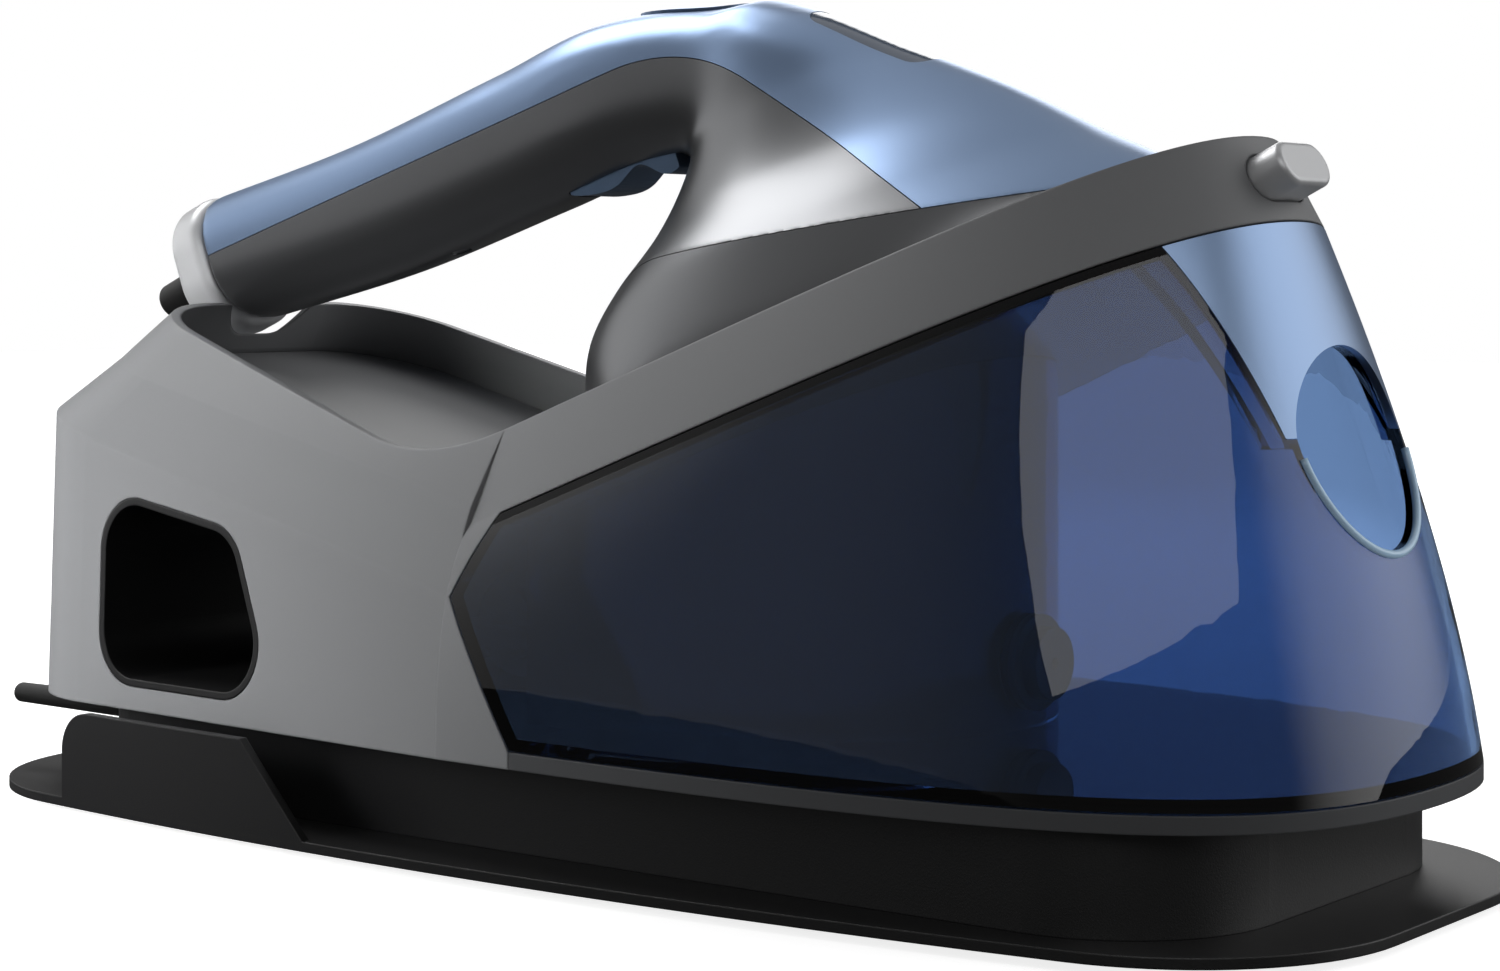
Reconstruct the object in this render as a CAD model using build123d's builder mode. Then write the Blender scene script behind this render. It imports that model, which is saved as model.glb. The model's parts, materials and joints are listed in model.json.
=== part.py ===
from math import atan, atan2, cos, degrees, radians, sin
import os

from build123d import *

os.makedirs("parts", exist_ok=True)

# A steam ironing station: a steam iron docked nose up on a base that holds water tank, pump and boiler.
# Millimetres. +X points to the nose, +Z up, and the origin is under the middle of the base plate.

# Fits
gap = 0.5            # between pieces that move apart
seat = 0.2           # at a curved seat inside one body
pin_fit = 0.1        # radial, trigger on its pin

# Base plate, feet and hose guards
foot_h = 2.0         # how far the feet lift the plate
foot_d = 16.0
foot_sink = 1.0      # depth of the foot's pocket in the plate
foot_x = 150.0
foot_y = 62.0
plate_l = 430.0
plate_t = 2.6
plate_w = 194.4      # widest, at plate_wide_x
plate_wide_x = -53.0
plate_front_w = 150.0
plate_rear_w = 169.0
plate_front_r = 58.0
plate_rear_r = 56.0
guard_rear_x = -155.0
guard_front_x = -54.0
guard_slope_x = -78.0   # where the guard's top starts to fall to the front
guard_h = 24.0
guard_t = 2.6
guard_r = 11.0
edge_turn = 20.0        # degrees, for finding the guards' cross edges

# Pedestal that the steam hose is wound round
pedestal_front_x = 189.0
pedestal_rear_x = -158.0
pedestal_w = 150.0
pedestal_front_r = 40.0
pedestal_rear_r = 12.0
pedestal_wall = 2.6
pedestal_h = 24.4
boss_d = 9.0
screw_d = 3.6
screw_head_d = 7.0
screw_head_h = 1.4
screw_l = 14.0
screw_x = 118.0
screw_y = 52.0

# Screws that hold the upper housing to the deck
boss_h = 14.0
boss_front_x = -62.0
boss_front_y = 64.0
boss_front_rib = 22.0
boss_rear_x = -186.0
boss_rear_y = 48.0
boss_rear_rib = 18.0

# Deck under tank and housing
deck_t = 4.2
post_t = 7.0             # posts on the deck that hold the board
post_w = 8.0
post_h = 9.0
post_in = 8.0            # from the board's edge to the post's middle

# Station body: sections that turn about the joint line, where rear housing and dock meet
joint_x = -13.0
wall = 3.0
dock_slope = 0.40            # rise of the iron's dock to the nose
tank_slope = 0.15            # tilt of the tank's waist section
shoulder_slope = -0.233      # fall of the rear housing's lower crease to the joint
chamfer_slope = -0.215       # fall of its upper crease
skirt_w = 91.0               # half widths at the joint, from the bottom up
waist_w = 87.0
hoop_low_w = 79.0
chamfer_w = 78.0
hoop_top_w = 65.4
waist_up = 35.9              # heights at the joint above the deck's top
hoop_low_up = 53.0
chamfer_up = 57.6
hoop_top_up = 76.9
skirt_nose_x = 213.0         # nose of each section
waist_nose_x = 199.0
hoop_low_nose_x = 178.0
hoop_top_nose_x = 168.0
skirt_side = (170.0, 97.0, 75.0)     # reach of the side curve in x, its half width, half width at the nose
waist_side = (125.0, 86.0, 76.0)
hoop_low_side = (95.0, 68.0, 63.0)
hoop_top_side = (85.0, 55.0, 54.0)
skirt_rear = (-204.0, 76.5, 45.0)    # rear x, half width there, corner radius
shoulder_rear = (-202.5, 75.0, 45.0)
chamfer_rear = (-183.0, 64.0, 38.0)
top_rear = (-168.0, 49.0, 30.0)
back_low = 53.0              # height above the deck's top where the back starts to lean
back_lean = 25.0             # degrees
rim_fall = 0.30              # fall of the rear rim to the saddle
rim_saddle_x = -36.0
rim_saddle_r = 60.0

# Water tank
tank_wall = 2.6
tank_foot_x = 12.0           # rear edge of the tank at the deck
tank_waist_x = -12.0
tank_top_x = -3.0
mouth_ahead = 30.0           # the mouth is cut from here on, in front of the bulkhead
mouth_w = 52.0               # filling mouth in the nose, also the grip
mouth_mid_up = 79.8          # above the deck's top
mouth_rise = 20.5
mouth_drop = 27.0
cover_t = 2.0
cover_top_w = 78.0
cover_low_w = 58.0

# Bulkhead that closes the station behind the tank
core_nose_x = 100.0
core_w = 57.0
core_side = (62.0, 57.0, 40.0)
core_wall = 2.4

# Iron rest
rest_t = 2.4
rest_floor_up = 5.6          # top of the floor above the hoop's lower edge, square to the dock
rest_rear_drop = 19.0        # floor below the rear rim
rest_saddle_r = 45.0
pad_h = 1.6
pad_d = 12.0
pad_rear_u = 34.0
pad_front_u = 124.0
pad_v = 22.0

# Hose bay through the rear housing
bay_rear_x = -151.0
bay_top_x = -97.0
bay_front_x = -79.0
bay_floor_up = 4.4           # above the deck's top
bay_low_roof_up = 46.3
bay_high_roof_up = 54.5
bay_r = 13.0
liner_t = 2.0

# Boiler, pump, valves and board inside the station
boiler_x = 32.0
boiler_legs = 3
boiler_d = 76.0
boiler_leg_h = 10.0
boiler_h = 30.0
boiler_wall = 3.0
boiler_leg_d = 9.0
boiler_leg_r = 31.0          # radius of the circle of legs
flange_d = 88.0
flange_t = 3.0
flange_bolt_d = 4.0
flange_bolts = 6
flange_bolt_r = 41.0
bolt_head = 0.7              # half size of the hexagon over the bolt's diameter
bolt_angle = 45.0
heater_d = 7.0
heater_r = 21.0
safety_d = 14.0
safety_h = 18.0
safety_spot = (60.0, 12.0)
solenoid_w = 22.0
solenoid_h = 24.0
solenoid_spot = (46.0, -14.0)
coil_low = 0.4               # share of the valve's height under its coil block
coil_share = 0.5             # share that the coil block takes
thermostat_spot = (10.0, 4.0)
thermostat_d = 16.0
thermostat_h = 7.0
pump_x = -50.0
pump_d = 30.0
pump_l = 62.0
pump_up = 20.0               # axis above the deck's top
pump_body = 0.6              # shares of the pump's length for its body and its necks
pump_neck = 0.8
tube_d = 6.0
side_run_y = 46.0            # tubes that pass the boiler
inlet_run = 10.0             # straight behind the coupler
inlet_bend_x = 35.0          # bends in front of the boiler's axis
inlet_bend_y = 28.0
inlet_turn_x = 6.0
steam_tube_d = 7.0
gland_far_x = 33.0           # bends in front of the gland
gland_near_x = 14.0
drop_x = -24.0               # where the steam tube passes down through the deck
drop_y = 38.0
board_x = -174.0
board_t = 1.6
board_w = 84.0
board_h = 40.0
relay_t = 10.0
relay_w = 16.0
coupler_d = 10.0
coupler_l = 7.0              # how far the spigot reaches into the tank
coupler_collar = 3.0
collar_clear = 0.8           # the flat collar lies clear of the round wall
socket_l = 11.0
valve_d = 18.0
valve_flange_d = 24.0
seal_t = 2.0
cord_boot_d = 6.8
cord_boot_y = -58.0
cord_boot_up = 20.4          # axis above the plate's top
cord_flange = 1.6
cord_taper = 0.5             # degrees
gland_d = 11.0
gland_y = 58.0
gland_up = 10.0

# Iron, in its own frame: u along the soleplate from the heel, h square to it, v across
heel_x = -21.0
lift_gap = 0.3               # soleplate above its pads
sole_t = 6.0
iron_wall = 2.6
heel_fullness = 0.75         # of the outline curves, as shares
side_fullness = 0.6
nose_fullness = 0.45
seam_gap = 0.4
# h, heel u, nose u, half width, u of the widest place
body_sections = (
    (sole_t + seam_gap, 6.5, 188.0, 54.5, 60.0),
    (18.0, 11.0, 185.0, 54.0, 62.0),
    (36.0, 18.0, 168.0, 46.0, 66.0),
    (55.0, 39.0, 149.5, 31.0, 80.0),
    (75.0, 56.0, 127.0, 22.0, 88.0),
    (92.0, 58.0, 107.0, 19.0, 85.0),
    (104.0, 60.0, 90.0, 15.0, 75.0),
)
# u, h of the middle, height, width
handle_sections = (
    (-122.0, 117.5, 40.0, 36.0),
    (-60.0, 108.3, 41.0, 37.0),
    (0.0, 104.0, 42.5, 37.0),
    (42.0, 100.3, 42.0, 38.0),
    (85.0, 84.0, 38.0, 36.0),
)
handle_r = 15.5
sole_heel = 4.0
sole_nose = 188.0
sole_w = 55.0
sole_widest = 60.0
cap_l = 14.0
cap_lip = 1.0
cap_wall = 3.0
cap_round = 4.0
notch_clear = 1.5
notch_front = 22.0           # the notch starts this far in front of the handle's end
hose_boot_d = 12.0
hose_boot_l = 24.0
hose_boot_flange = 2.0
hose_boot_taper = 1.0        # degrees
crease_h = 44.0              # height of the crease at crease_u, and its fall to the nose
crease_u = 60.0
crease_fall = 0.24
crease_rear_u = 36.0
crease_rear_r = 30.0
crease_heel_u = 2.0
seam_rear_h = 117.5          # cover seam at the handle's end
seam_bend_u = 71.0
seam_bend_h = 101.7
seam_nose_u = 134.5
seam_nose_h = 28.8
seam_r = 60.0
steam_hole_d = 3.0
hole_rows = 9
hole_u = 48.0
hole_step = 13.0
hole_v = 38.0
hole_fall = 3.6
chamber_h = 12.0
chamber_u = 30.0
chamber_wide_u = 92.0
chamber_nose_u = 124.0
chamber_w = 50.0
chamber_r = 8.0
heat_tube_d = 7.0
heat_u = 22.0
heat_wide_u = 92.0
heat_nose_u = 153.0
heat_w = 67.0
heat_bend = 13.0
iron_thermostat_u = 62.0
steam_inlet_u = 88.0

# Trigger, buttons and lock
trigger_w = 15.0
pivot_u = 17.0
pivot_up = 4.97              # heights here are taken from the handle's underside at its screw
pin_d = 3.0
trigger_rear_u = 11.5
trigger_rear_drop = 3.83
trigger_front_u = 50.0
trigger_top_up = 2.5         # above the pivot
trigger_lobe_drop = 11.53
trigger_lobe_u = 6.0         # length and rise of the lobe's flat
trigger_lobe_rise = 0.5
trigger_scoop_drop = 5.53
trigger_scoop_u = 37.0
trigger_belly_drop = 7.53
trigger_belly_u = 8.0        # where the belly starts and ends, behind the scoop
trigger_belly_l = 10.0
trigger_belly_rise = 0.6
trigger_swing = 2.0          # how far the lobe moves forward over the trigger's travel
trigger_slot_drop = 16.03
coil_room = 4.2
coil_r = 2.6
coil_turns = 3
steam_run_v = 11.5
steam_run_up = 6.0           # above the carrier's underside
steam_tail_u = 8.0           # bends of the tube through the handle
steam_tail_drop = 4.0
steam_mid_rise = 1.0
steam_dip_u = 18.0
steam_dip = 8.0
steam_fall = 40.0
carrier_up = 14.97           # underside of the handle's inner carrier
carrier_t = 2.0
carrier_w = 16.0
carrier_rear_u = -100.0
carrier_front_u = 71.0
lug_u = 8.0
lug_t = 2.0
lug_drop = 3.5               # below the pivot
handle_screw_u = -39.0
handle_screw_d = 3.0
handle_screw_head_d = 6.0
handle_screw_head_h = 1.1
screw_seat_up = 1.47         # the head's seat above the underside
screw_boss_clear = 0.67      # carrier's boss above the shell
switch_u = 32.0
switch_l = 13.0
switch_w = 6.0
switch_h = 4.0
hub_w = 11.0                 # trigger's hub, narrower by the room for its coil spring
button_x = -2.0
button_l = 38.0
button_w = 15.0
button_proud = 1.0
button_t = 3.0
button_post_d = 9.0
button_post_z = 211.5
button_low_z = 215.2
window_x = 58.5
window_l = 40.0
window_w = 16.0
window_recess = 0.5
window_t = 1.6
window_z = 211.7
window_lean = 17.6           # degrees, to the front
lock_w = 23.0
lock_h = 11.5
lock_proud = 8.0
lock_stroke = 3.0
lock_flange = 1.6
lock_flange_t = 1.4
lock_flange_back = 5.6       # behind the middle of the hoop's face, clear of its round inside
lock_round = 1.5
bracket_back = 15.0
lock_bracket_t = 2.0
lock_bracket_w = 20.0
lock_bracket_h = 9.0
spring_wire = 0.7

# Derived heights
plate_top = foot_h + plate_t
deck_z = plate_top + pedestal_h
deck_top = deck_z + deck_t
far = 300.0                  # past every face, for cuts
on_floor = (Align.CENTER, Align.CENTER, Align.MIN)


def tilted(height, slope):
    turn = atan(slope)
    return Plane((joint_x, 0, height), x_dir=(cos(turn), 0, sin(turn)), z_dir=(-sin(turn), 0, cos(turn)))


def hoop_low_z(x):
    return deck_top + hoop_low_up + dock_slope * (x - joint_x)


def hoop_top_z(x):
    return deck_top + hoop_top_up + dock_slope * (x - joint_x)


def nose_section(height, slope, half_w, nose_x, side, inset):
    # bullet outline from the joint line to the nose, on its tilted plane
    stretch = 1 / cos(atan(slope))
    reach_x, reach_w, nose_w = side
    nose_u = (nose_x - joint_x) * stretch - inset
    with BuildSketch(tilted(height, slope)) as section:
        with BuildLine():
            half = Bezier(
                (0, -half_w + inset),
                ((reach_x - joint_x) * stretch, -reach_w + inset),
                (nose_u, -nose_w + inset),
                (nose_u, 0),
            )
            mirror(half, about=Plane.XZ)
            Line((0, -half_w + inset), (0, half_w - inset))
        make_face()
    return section.sketch


def rear_section(height, slope, half_w, rear, inset):
    # outline from the joint line back to a wall with round corners
    stretch = 1 / cos(atan(slope))
    rear_x, rear_w, corner_r = rear
    rear_u = (rear_x - joint_x) * stretch + inset
    with BuildSketch(tilted(height, slope)) as section:
        with BuildLine():
            Polyline(
                (0, -half_w + inset),
                (0, half_w - inset),
                (rear_u, rear_w - inset),
                (rear_u, -rear_w + inset),
                close=True,
            )
        make_face()
        fillet(section.vertices().group_by(Axis.X)[0], radius=corner_r - inset)
    return section.sketch


def side_prism(*points, corner_r=0.0, grow=0.0):
    # a closed outline in the XZ plane, carried past both sides
    with BuildPart() as prism:
        with BuildSketch(Plane.XZ) as outline:
            with BuildLine():
                Polyline(*points, close=True)
            make_face()
            if corner_r > 0:
                fillet(outline.vertices(), radius=corner_r)
            if grow != 0:
                offset(amount=grow, kind=Kind.INTERSECTION)
        extrude(amount=far, both=True)
    return prism.part


def tank_form(inset):
    # tank and gusset: from the deck up to the hoop's lower edge
    foot = nose_section(deck_top, 0, skirt_w, skirt_nose_x, skirt_side, inset)
    waist = nose_section(deck_top + waist_up, tank_slope, waist_w, waist_nose_x, waist_side, inset)
    top = nose_section(deck_top + hoop_low_up, dock_slope, hoop_low_w, hoop_low_nose_x, hoop_low_side, inset)
    with BuildPart() as form:
        loft(sections=[foot, waist, top])
    return form.part


def hoop_form(inset):
    low = nose_section(deck_top + hoop_low_up, dock_slope, hoop_low_w, hoop_low_nose_x, hoop_low_side, inset)
    top = nose_section(deck_top + hoop_top_up, dock_slope, hoop_top_w, hoop_top_nose_x, hoop_top_side, inset)
    with BuildPart() as form:
        loft(sections=[low, top], ruled=True)
    return form.part


def rear_form(inset):
    foot = rear_section(deck_z, 0, skirt_w, skirt_rear, inset)
    shoulder = rear_section(deck_top + waist_up, shoulder_slope, waist_w, shoulder_rear, inset)
    chamfer_line = rear_section(deck_top + chamfer_up, chamfer_slope, chamfer_w, chamfer_rear, inset)
    top = rear_section(deck_top + hoop_top_up, chamfer_slope, hoop_top_w, top_rear, inset)
    lean = radians(back_lean)
    back_x = skirt_rear[0] + inset / cos(lean)
    back = Plane((back_x, 0, deck_top + back_low), x_dir=(0, 1, 0), z_dir=(-cos(lean), 0, sin(lean)))
    with BuildPart() as form:
        loft(sections=[foot, shoulder, chamfer_line, top], ruled=True)
        split(bisect_by=back, keep=Keep.BOTTOM)
    return form.part


# Everything above the rim of the dock: it falls from the back to the saddle
saddle_z = hoop_top_z(rim_saddle_x)
rim_back = (-far, saddle_z + rim_fall * (far + rim_saddle_x))
rim_front = (far, hoop_top_z(far))
with BuildPart() as above_rim:
    with BuildSketch(Plane.XZ):
        with BuildLine():
            FilletPolyline(rim_back, (rim_saddle_x, saddle_z), rim_front, radius=rim_saddle_r)
            Polyline(rim_front, (far, 2 * far), (-far, 2 * far), rim_back)
        make_face()
    extrude(amount=far, both=True)

tank_outline = (
    (tank_foot_x, deck_top),
    (tank_waist_x, deck_top + waist_up),
    (tank_top_x, hoop_low_z(tank_top_x)),
    (far, hoop_low_z(far)),
    (far, deck_top),
)
bay_outline = (
    (bay_rear_x, deck_top + bay_floor_up),
    (bay_rear_x, deck_top + bay_high_roof_up),
    (bay_top_x, deck_top + bay_low_roof_up),
    (bay_front_x, deck_top + bay_floor_up),
)
tank_zone = side_prism(*tank_outline)
rear_outer = rear_form(0)
rear_inner = rear_form(wall)
tank_outer = tank_form(0)
tank_inner = tank_form(wall)
hoop_outer = hoop_form(0)
hoop_inner = hoop_form(wall)


def save(piece, name):
    piece.part.label = name
    export_step(piece.part, f"parts/{name}.step")


# Height of the iron rest's floor
floor_drop = rest_floor_up / cos(atan(dock_slope))


def floor_z(x):
    return hoop_low_z(x) + floor_drop


# The iron stands on its pads, square to the dock
tilt = atan(dock_slope)
heel_z = floor_z(heel_x) + (pad_h + lift_gap) / cos(tilt)
iron_x = Vector(cos(tilt), 0, sin(tilt))
iron_h = Vector(-sin(tilt), 0, cos(tilt))
iron_origin = Vector(heel_x, 0, heel_z)
iron_plane = Plane(iron_origin, x_dir=iron_x, z_dir=iron_h)
iron_side = Plane(iron_origin, x_dir=iron_x, z_dir=(0, -1, 0))


def iron_point(u, v, h):
    return iron_origin + iron_x * u + Vector(0, v, 0) + iron_h * h


def cross_plane(u):
    # square to the soleplate's length, local x across and local y up
    return Plane(iron_point(u, 0, 0), x_dir=(0, 1, 0), z_dir=iron_x)


def sole_section(h, heel, nose, half_w, widest, inset):
    heel = heel + inset
    nose = nose - inset
    half_w = half_w - inset
    with BuildSketch(iron_plane.offset(h)) as section:
        with BuildLine():
            rear = Bezier(
                (heel, 0),
                (heel, -heel_fullness * half_w),
                (widest - side_fullness * (widest - heel), -half_w),
                (widest, -half_w),
            )
            front = Bezier(
                (widest, -half_w),
                (widest + nose_fullness * (nose - widest), -half_w),
                (nose, -nose_fullness * half_w),
                (nose, 0),
            )
            mirror(rear, about=Plane.XZ)
            mirror(front, about=Plane.XZ)
        make_face()
    return section.sketch


def body_form(inset):
    sections = []
    for h, heel, nose, half_w, widest in body_sections:
        sections.append(sole_section(h, heel, nose, half_w, widest, inset))
    with BuildPart() as form:
        loft(sections=sections, ruled=True)
    return form.part


def handle_section(u, middle, height, width, inset):
    with BuildSketch(cross_plane(u)) as section:
        with Locations((0, middle)):
            RectangleRounded(width - 2 * inset, height - 2 * inset, handle_r - inset)
    return section.sketch


def handle_form(inset):
    sections = []
    for u, middle, height, width in handle_sections:
        sections.append(handle_section(u, middle, height, width, inset))
    with BuildPart() as form:
        loft(sections=sections, ruled=True)
    return form.part


with BuildPart() as iron_outer:
    add(body_form(0))
    add(handle_form(0))
with BuildPart() as iron_inner:
    add(body_form(iron_wall))
    add(handle_form(iron_wall))
with BuildPart() as iron_skin:
    add(iron_outer.part)
    add(iron_inner.part, mode=Mode.SUBTRACT)

# Heights in the handle, from its underside at the screw
screw_share = (handle_screw_u - handle_sections[1][0]) / (handle_sections[2][0] - handle_sections[1][0])
underside_rear = handle_sections[1][1] - handle_sections[1][2] / 2
underside_front = handle_sections[2][1] - handle_sections[2][2] / 2
handle_low_h = underside_rear + screw_share * (underside_front - underside_rear)
pivot_h = handle_low_h + pivot_up
carrier_h = handle_low_h + carrier_up
lug_low_h = pivot_h - lug_drop
steam_run_h = carrier_h + steam_run_up
screw_seat_h = handle_low_h + screw_seat_up
trigger_slot_low = handle_low_h - trigger_slot_drop

# Room for the handle's tail in the rear rim
tail_u, tail_mid, tail_h, tail_w = handle_sections[0]
notch_low = tail_mid - tail_h / 2 - cap_lip - notch_clear
with BuildPart() as tail_notch:
    with BuildSketch(cross_plane(tail_u + notch_front)) as notch:
        with Locations((0, notch_low)):
            Rectangle(tail_w + 2 * (cap_lip + notch_clear), far, align=(Align.CENTER, Align.MIN))
        fillet(notch.vertices().group_by(Axis.Z)[0], radius=handle_r)
    extrude(amount=-far)

# Upper housing: rear shell, gussets beside the tank and the hoop round the iron, one moulding
skirt_outer = nose_section(deck_z, 0, skirt_w, skirt_nose_x, skirt_side, 0)
skirt_inner = nose_section(deck_z, 0, skirt_w, skirt_nose_x, skirt_side, wall)
with BuildPart() as gusset:
    add(tank_outer)
    add(tank_inner, mode=Mode.SUBTRACT)
    add(tank_zone, mode=Mode.SUBTRACT)
with BuildPart() as gusset_foot:
    extrude(skirt_outer, amount=deck_t)
    extrude(skirt_inner, amount=deck_t, mode=Mode.SUBTRACT)
    split(bisect_by=Plane.YZ.offset(tank_foot_x), keep=Keep.BOTTOM)
lock_rise = hoop_top_z(hoop_top_nose_x) - hoop_low_z(hoop_low_nose_x)
lock_turn = atan2(lock_rise, hoop_low_nose_x - hoop_top_nose_x)
lock_mid = Vector(
    (hoop_low_nose_x + hoop_top_nose_x) / 2,
    0,
    (hoop_low_z(hoop_low_nose_x) + hoop_top_z(hoop_top_nose_x)) / 2,
)
lock_plane = Plane(lock_mid, x_dir=(0, 1, 0), z_dir=(sin(lock_turn), 0, cos(lock_turn)))
housing_bosses = []
for side in (-1, 1):
    housing_bosses.append((boss_front_x, side * boss_front_y, boss_front_rib))
    housing_bosses.append((boss_rear_x, side * boss_rear_y, boss_rear_rib))
bay_cut = side_prism(*bay_outline, corner_r=bay_r, grow=liner_t + seat)
with BuildPart() as upper_housing:
    add(rear_outer)
    add(above_rim.part, mode=Mode.SUBTRACT)
    add(rear_inner, mode=Mode.SUBTRACT)
    add(hoop_outer)
    add(hoop_inner, mode=Mode.SUBTRACT)
    add(gusset.part)
    add(gusset_foot.part)
    add(bay_cut, mode=Mode.SUBTRACT)
    add(tail_notch.part, mode=Mode.SUBTRACT)
    for x, y, rib in housing_bosses:
        with Locations((x, y, deck_top)):
            Cylinder(boss_d / 2, boss_h, align=on_floor)
        with Locations((x, y, deck_top)):
            Box(wall, rib, boss_h, align=(Align.CENTER, Align.MIN if y > 0 else Align.MAX, Align.MIN))
        with Locations((x, y, deck_top)):
            Cylinder(
                screw_d / 2,
                boss_h - wall,
                align=on_floor,
                mode=Mode.SUBTRACT,
            )
    with BuildSketch(lock_plane):
        SlotOverall(lock_w + 2 * gap, lock_h + 2 * gap)
    extrude(amount=2 * wall, both=True, mode=Mode.SUBTRACT)
save(upper_housing, "upper_housing")

# Black liner of the hose bay, a tunnel from side to side
bay_space = side_prism(*bay_outline, corner_r=bay_r)
bay_tube = side_prism(*bay_outline, corner_r=bay_r, grow=liner_t)
with BuildPart() as hose_bay_liner:
    add(bay_tube)
    add(bay_space, mode=Mode.SUBTRACT)
    add(rear_outer, mode=Mode.INTERSECT)
save(hose_bay_liner, "hose_bay_liner")


# Base plate with the two hose guards on its rear edges
def plate_outline(inset):
    half_l = plate_l / 2 - inset
    wide = plate_w / 2 - inset
    rear = plate_rear_w / 2 - inset
    front = plate_front_w / 2 - inset
    with BuildSketch(Plane.XY.offset(foot_h)) as outline:
        with BuildLine():
            near = ThreePointArc((-half_l, -rear), (plate_wide_x, -wide), (half_l, -front))
            mirror(near, about=Plane.XZ)
            Line((half_l, -front), (half_l, front))
            Line((-half_l, -rear), (-half_l, rear))
        make_face()
        fillet(outline.vertices().group_by(Axis.X)[-1], radius=plate_front_r - inset)
        fillet(outline.vertices().group_by(Axis.X)[0], radius=plate_rear_r - inset)
    return outline.sketch


guard_profile = side_prism(
    (guard_rear_x, foot_h),
    (guard_rear_x, plate_top + guard_h),
    (guard_slope_x, plate_top + guard_h),
    (guard_front_x, plate_top),
    (guard_front_x, foot_h),
)
feet = [(x, y) for x in (-foot_x, foot_x) for y in (-foot_y, foot_y)]
screw_spots = [(x, y) for x in (-screw_x, 0, screw_x) for y in (-screw_y, screw_y)]
with BuildPart() as guards:
    extrude(plate_outline(0), amount=plate_t + guard_h)
    extrude(plate_outline(guard_t), amount=plate_t + guard_h, mode=Mode.SUBTRACT)
    add(guard_profile, mode=Mode.INTERSECT)
    rear_edges = guards.edges().filter_by(Axis.Y, tolerance=edge_turn).group_by(Axis.X)[0]
    fillet(rear_edges.group_by(Axis.Z)[-1], radius=guard_r)
with BuildPart() as base_plate:
    extrude(plate_outline(0), amount=plate_t)
    add(guards.part)
    with Locations(*[(x, y, foot_h) for x, y in feet]):
        Cylinder(foot_d / 2 + seat, foot_sink, align=on_floor, mode=Mode.SUBTRACT)
    with Locations(*[(x, y, foot_h) for x, y in screw_spots]):
        Cylinder(screw_d / 2 + seat, plate_t, align=on_floor, mode=Mode.SUBTRACT)
save(base_plate, "base_plate")

with BuildPart() as rubber_feet:
    with Locations(*[(x, y, 0) for x, y in feet]):
        Cylinder(foot_d / 2, foot_h + foot_sink, align=on_floor)
    chamfer(rubber_feet.edges().group_by(Axis.Z)[0], length=foot_h / 4)
save(rubber_feet, "rubber_feet")

# Pedestal wall with its screw bosses
pedestal_mid_x = (pedestal_front_x + pedestal_rear_x) / 2
pedestal_l = pedestal_front_x - pedestal_rear_x


def pedestal_outline(inset):
    with BuildSketch(Plane((pedestal_mid_x, 0, plate_top))) as outline:
        Rectangle(pedestal_l - 2 * inset, pedestal_w - 2 * inset)
        fillet(outline.vertices().group_by(Axis.X)[-1], radius=pedestal_front_r - inset)
        fillet(outline.vertices().group_by(Axis.X)[0], radius=pedestal_rear_r - inset)
    return outline.sketch


cord_axis = Plane((pedestal_rear_x, cord_boot_y, plate_top + cord_boot_up), x_dir=(0, 1, 0), z_dir=(-1, 0, 0))
gland_axis = Plane((pedestal_rear_x, gland_y, plate_top + gland_up), x_dir=(0, 1, 0), z_dir=(-1, 0, 0))
rib_l = pedestal_w / 2 - pedestal_wall / 2 - screw_y
with BuildPart() as pedestal:
    extrude(pedestal_outline(0), amount=pedestal_h)
    extrude(pedestal_outline(pedestal_wall), amount=pedestal_h, mode=Mode.SUBTRACT)
    with Locations(*[(x, (screw_y + rib_l / 2) * y / screw_y, plate_top) for x, y in screw_spots]):
        Box(pedestal_wall, rib_l, pedestal_h, align=on_floor)
    with Locations(*[(x, y, plate_top) for x, y in screw_spots]):
        Cylinder(boss_d / 2, pedestal_h, align=on_floor)
        Cylinder(screw_d / 2, screw_l, align=on_floor, mode=Mode.SUBTRACT)
    with BuildSketch(cord_axis, gland_axis):
        Circle(cord_boot_d / 2 + seat)
    extrude(amount=2 * pedestal_wall, both=True, mode=Mode.SUBTRACT)
save(pedestal, "pedestal")

with BuildPart() as station_screws:
    with Locations(*[(x, y, foot_h) for x, y in screw_spots]):
        Cylinder(screw_d / 2, plate_t + screw_l - gap, align=on_floor)
        Cylinder(screw_head_d / 2, screw_head_h, align=(Align.CENTER, Align.CENTER, Align.MAX))
save(station_screws, "station_screws")

# Strain relief of the mains lead, a tapered boot that ends level with the plate's rear edge
cord_boot_l = plate_l / 2 + pedestal_rear_x
with BuildPart() as mains_cord_boot:
    with BuildSketch(cord_axis.offset(-pedestal_wall)):
        Circle(cord_boot_d / 2)
    extrude(amount=cord_boot_l + pedestal_wall, taper=cord_taper)
    fillet(mains_cord_boot.edges().sort_by(Axis.X)[0], radius=cord_boot_d / 4)
    with BuildSketch(cord_axis.offset(-pedestal_wall)):
        Circle(cord_boot_d / 2 + cord_flange)
    extrude(amount=-pedestal_wall)
    split(bisect_by=Plane.XY.offset(deck_z - seat), keep=Keep.BOTTOM)
save(mains_cord_boot, "mains_cord_boot")

with BuildPart() as hose_gland:
    with BuildSketch(gland_axis.offset(-pedestal_wall)):
        Circle(cord_boot_d / 2)
    extrude(amount=2 * pedestal_wall)
    with BuildSketch(gland_axis.offset(-pedestal_wall)):
        Circle(gland_d / 2)
    extrude(amount=-pedestal_wall)
    with BuildSketch(gland_axis.offset(-3 * pedestal_wall)):
        Circle(cord_boot_d / 4)
    extrude(amount=6 * pedestal_wall, mode=Mode.SUBTRACT)
save(hose_gland, "hose_gland")

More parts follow.
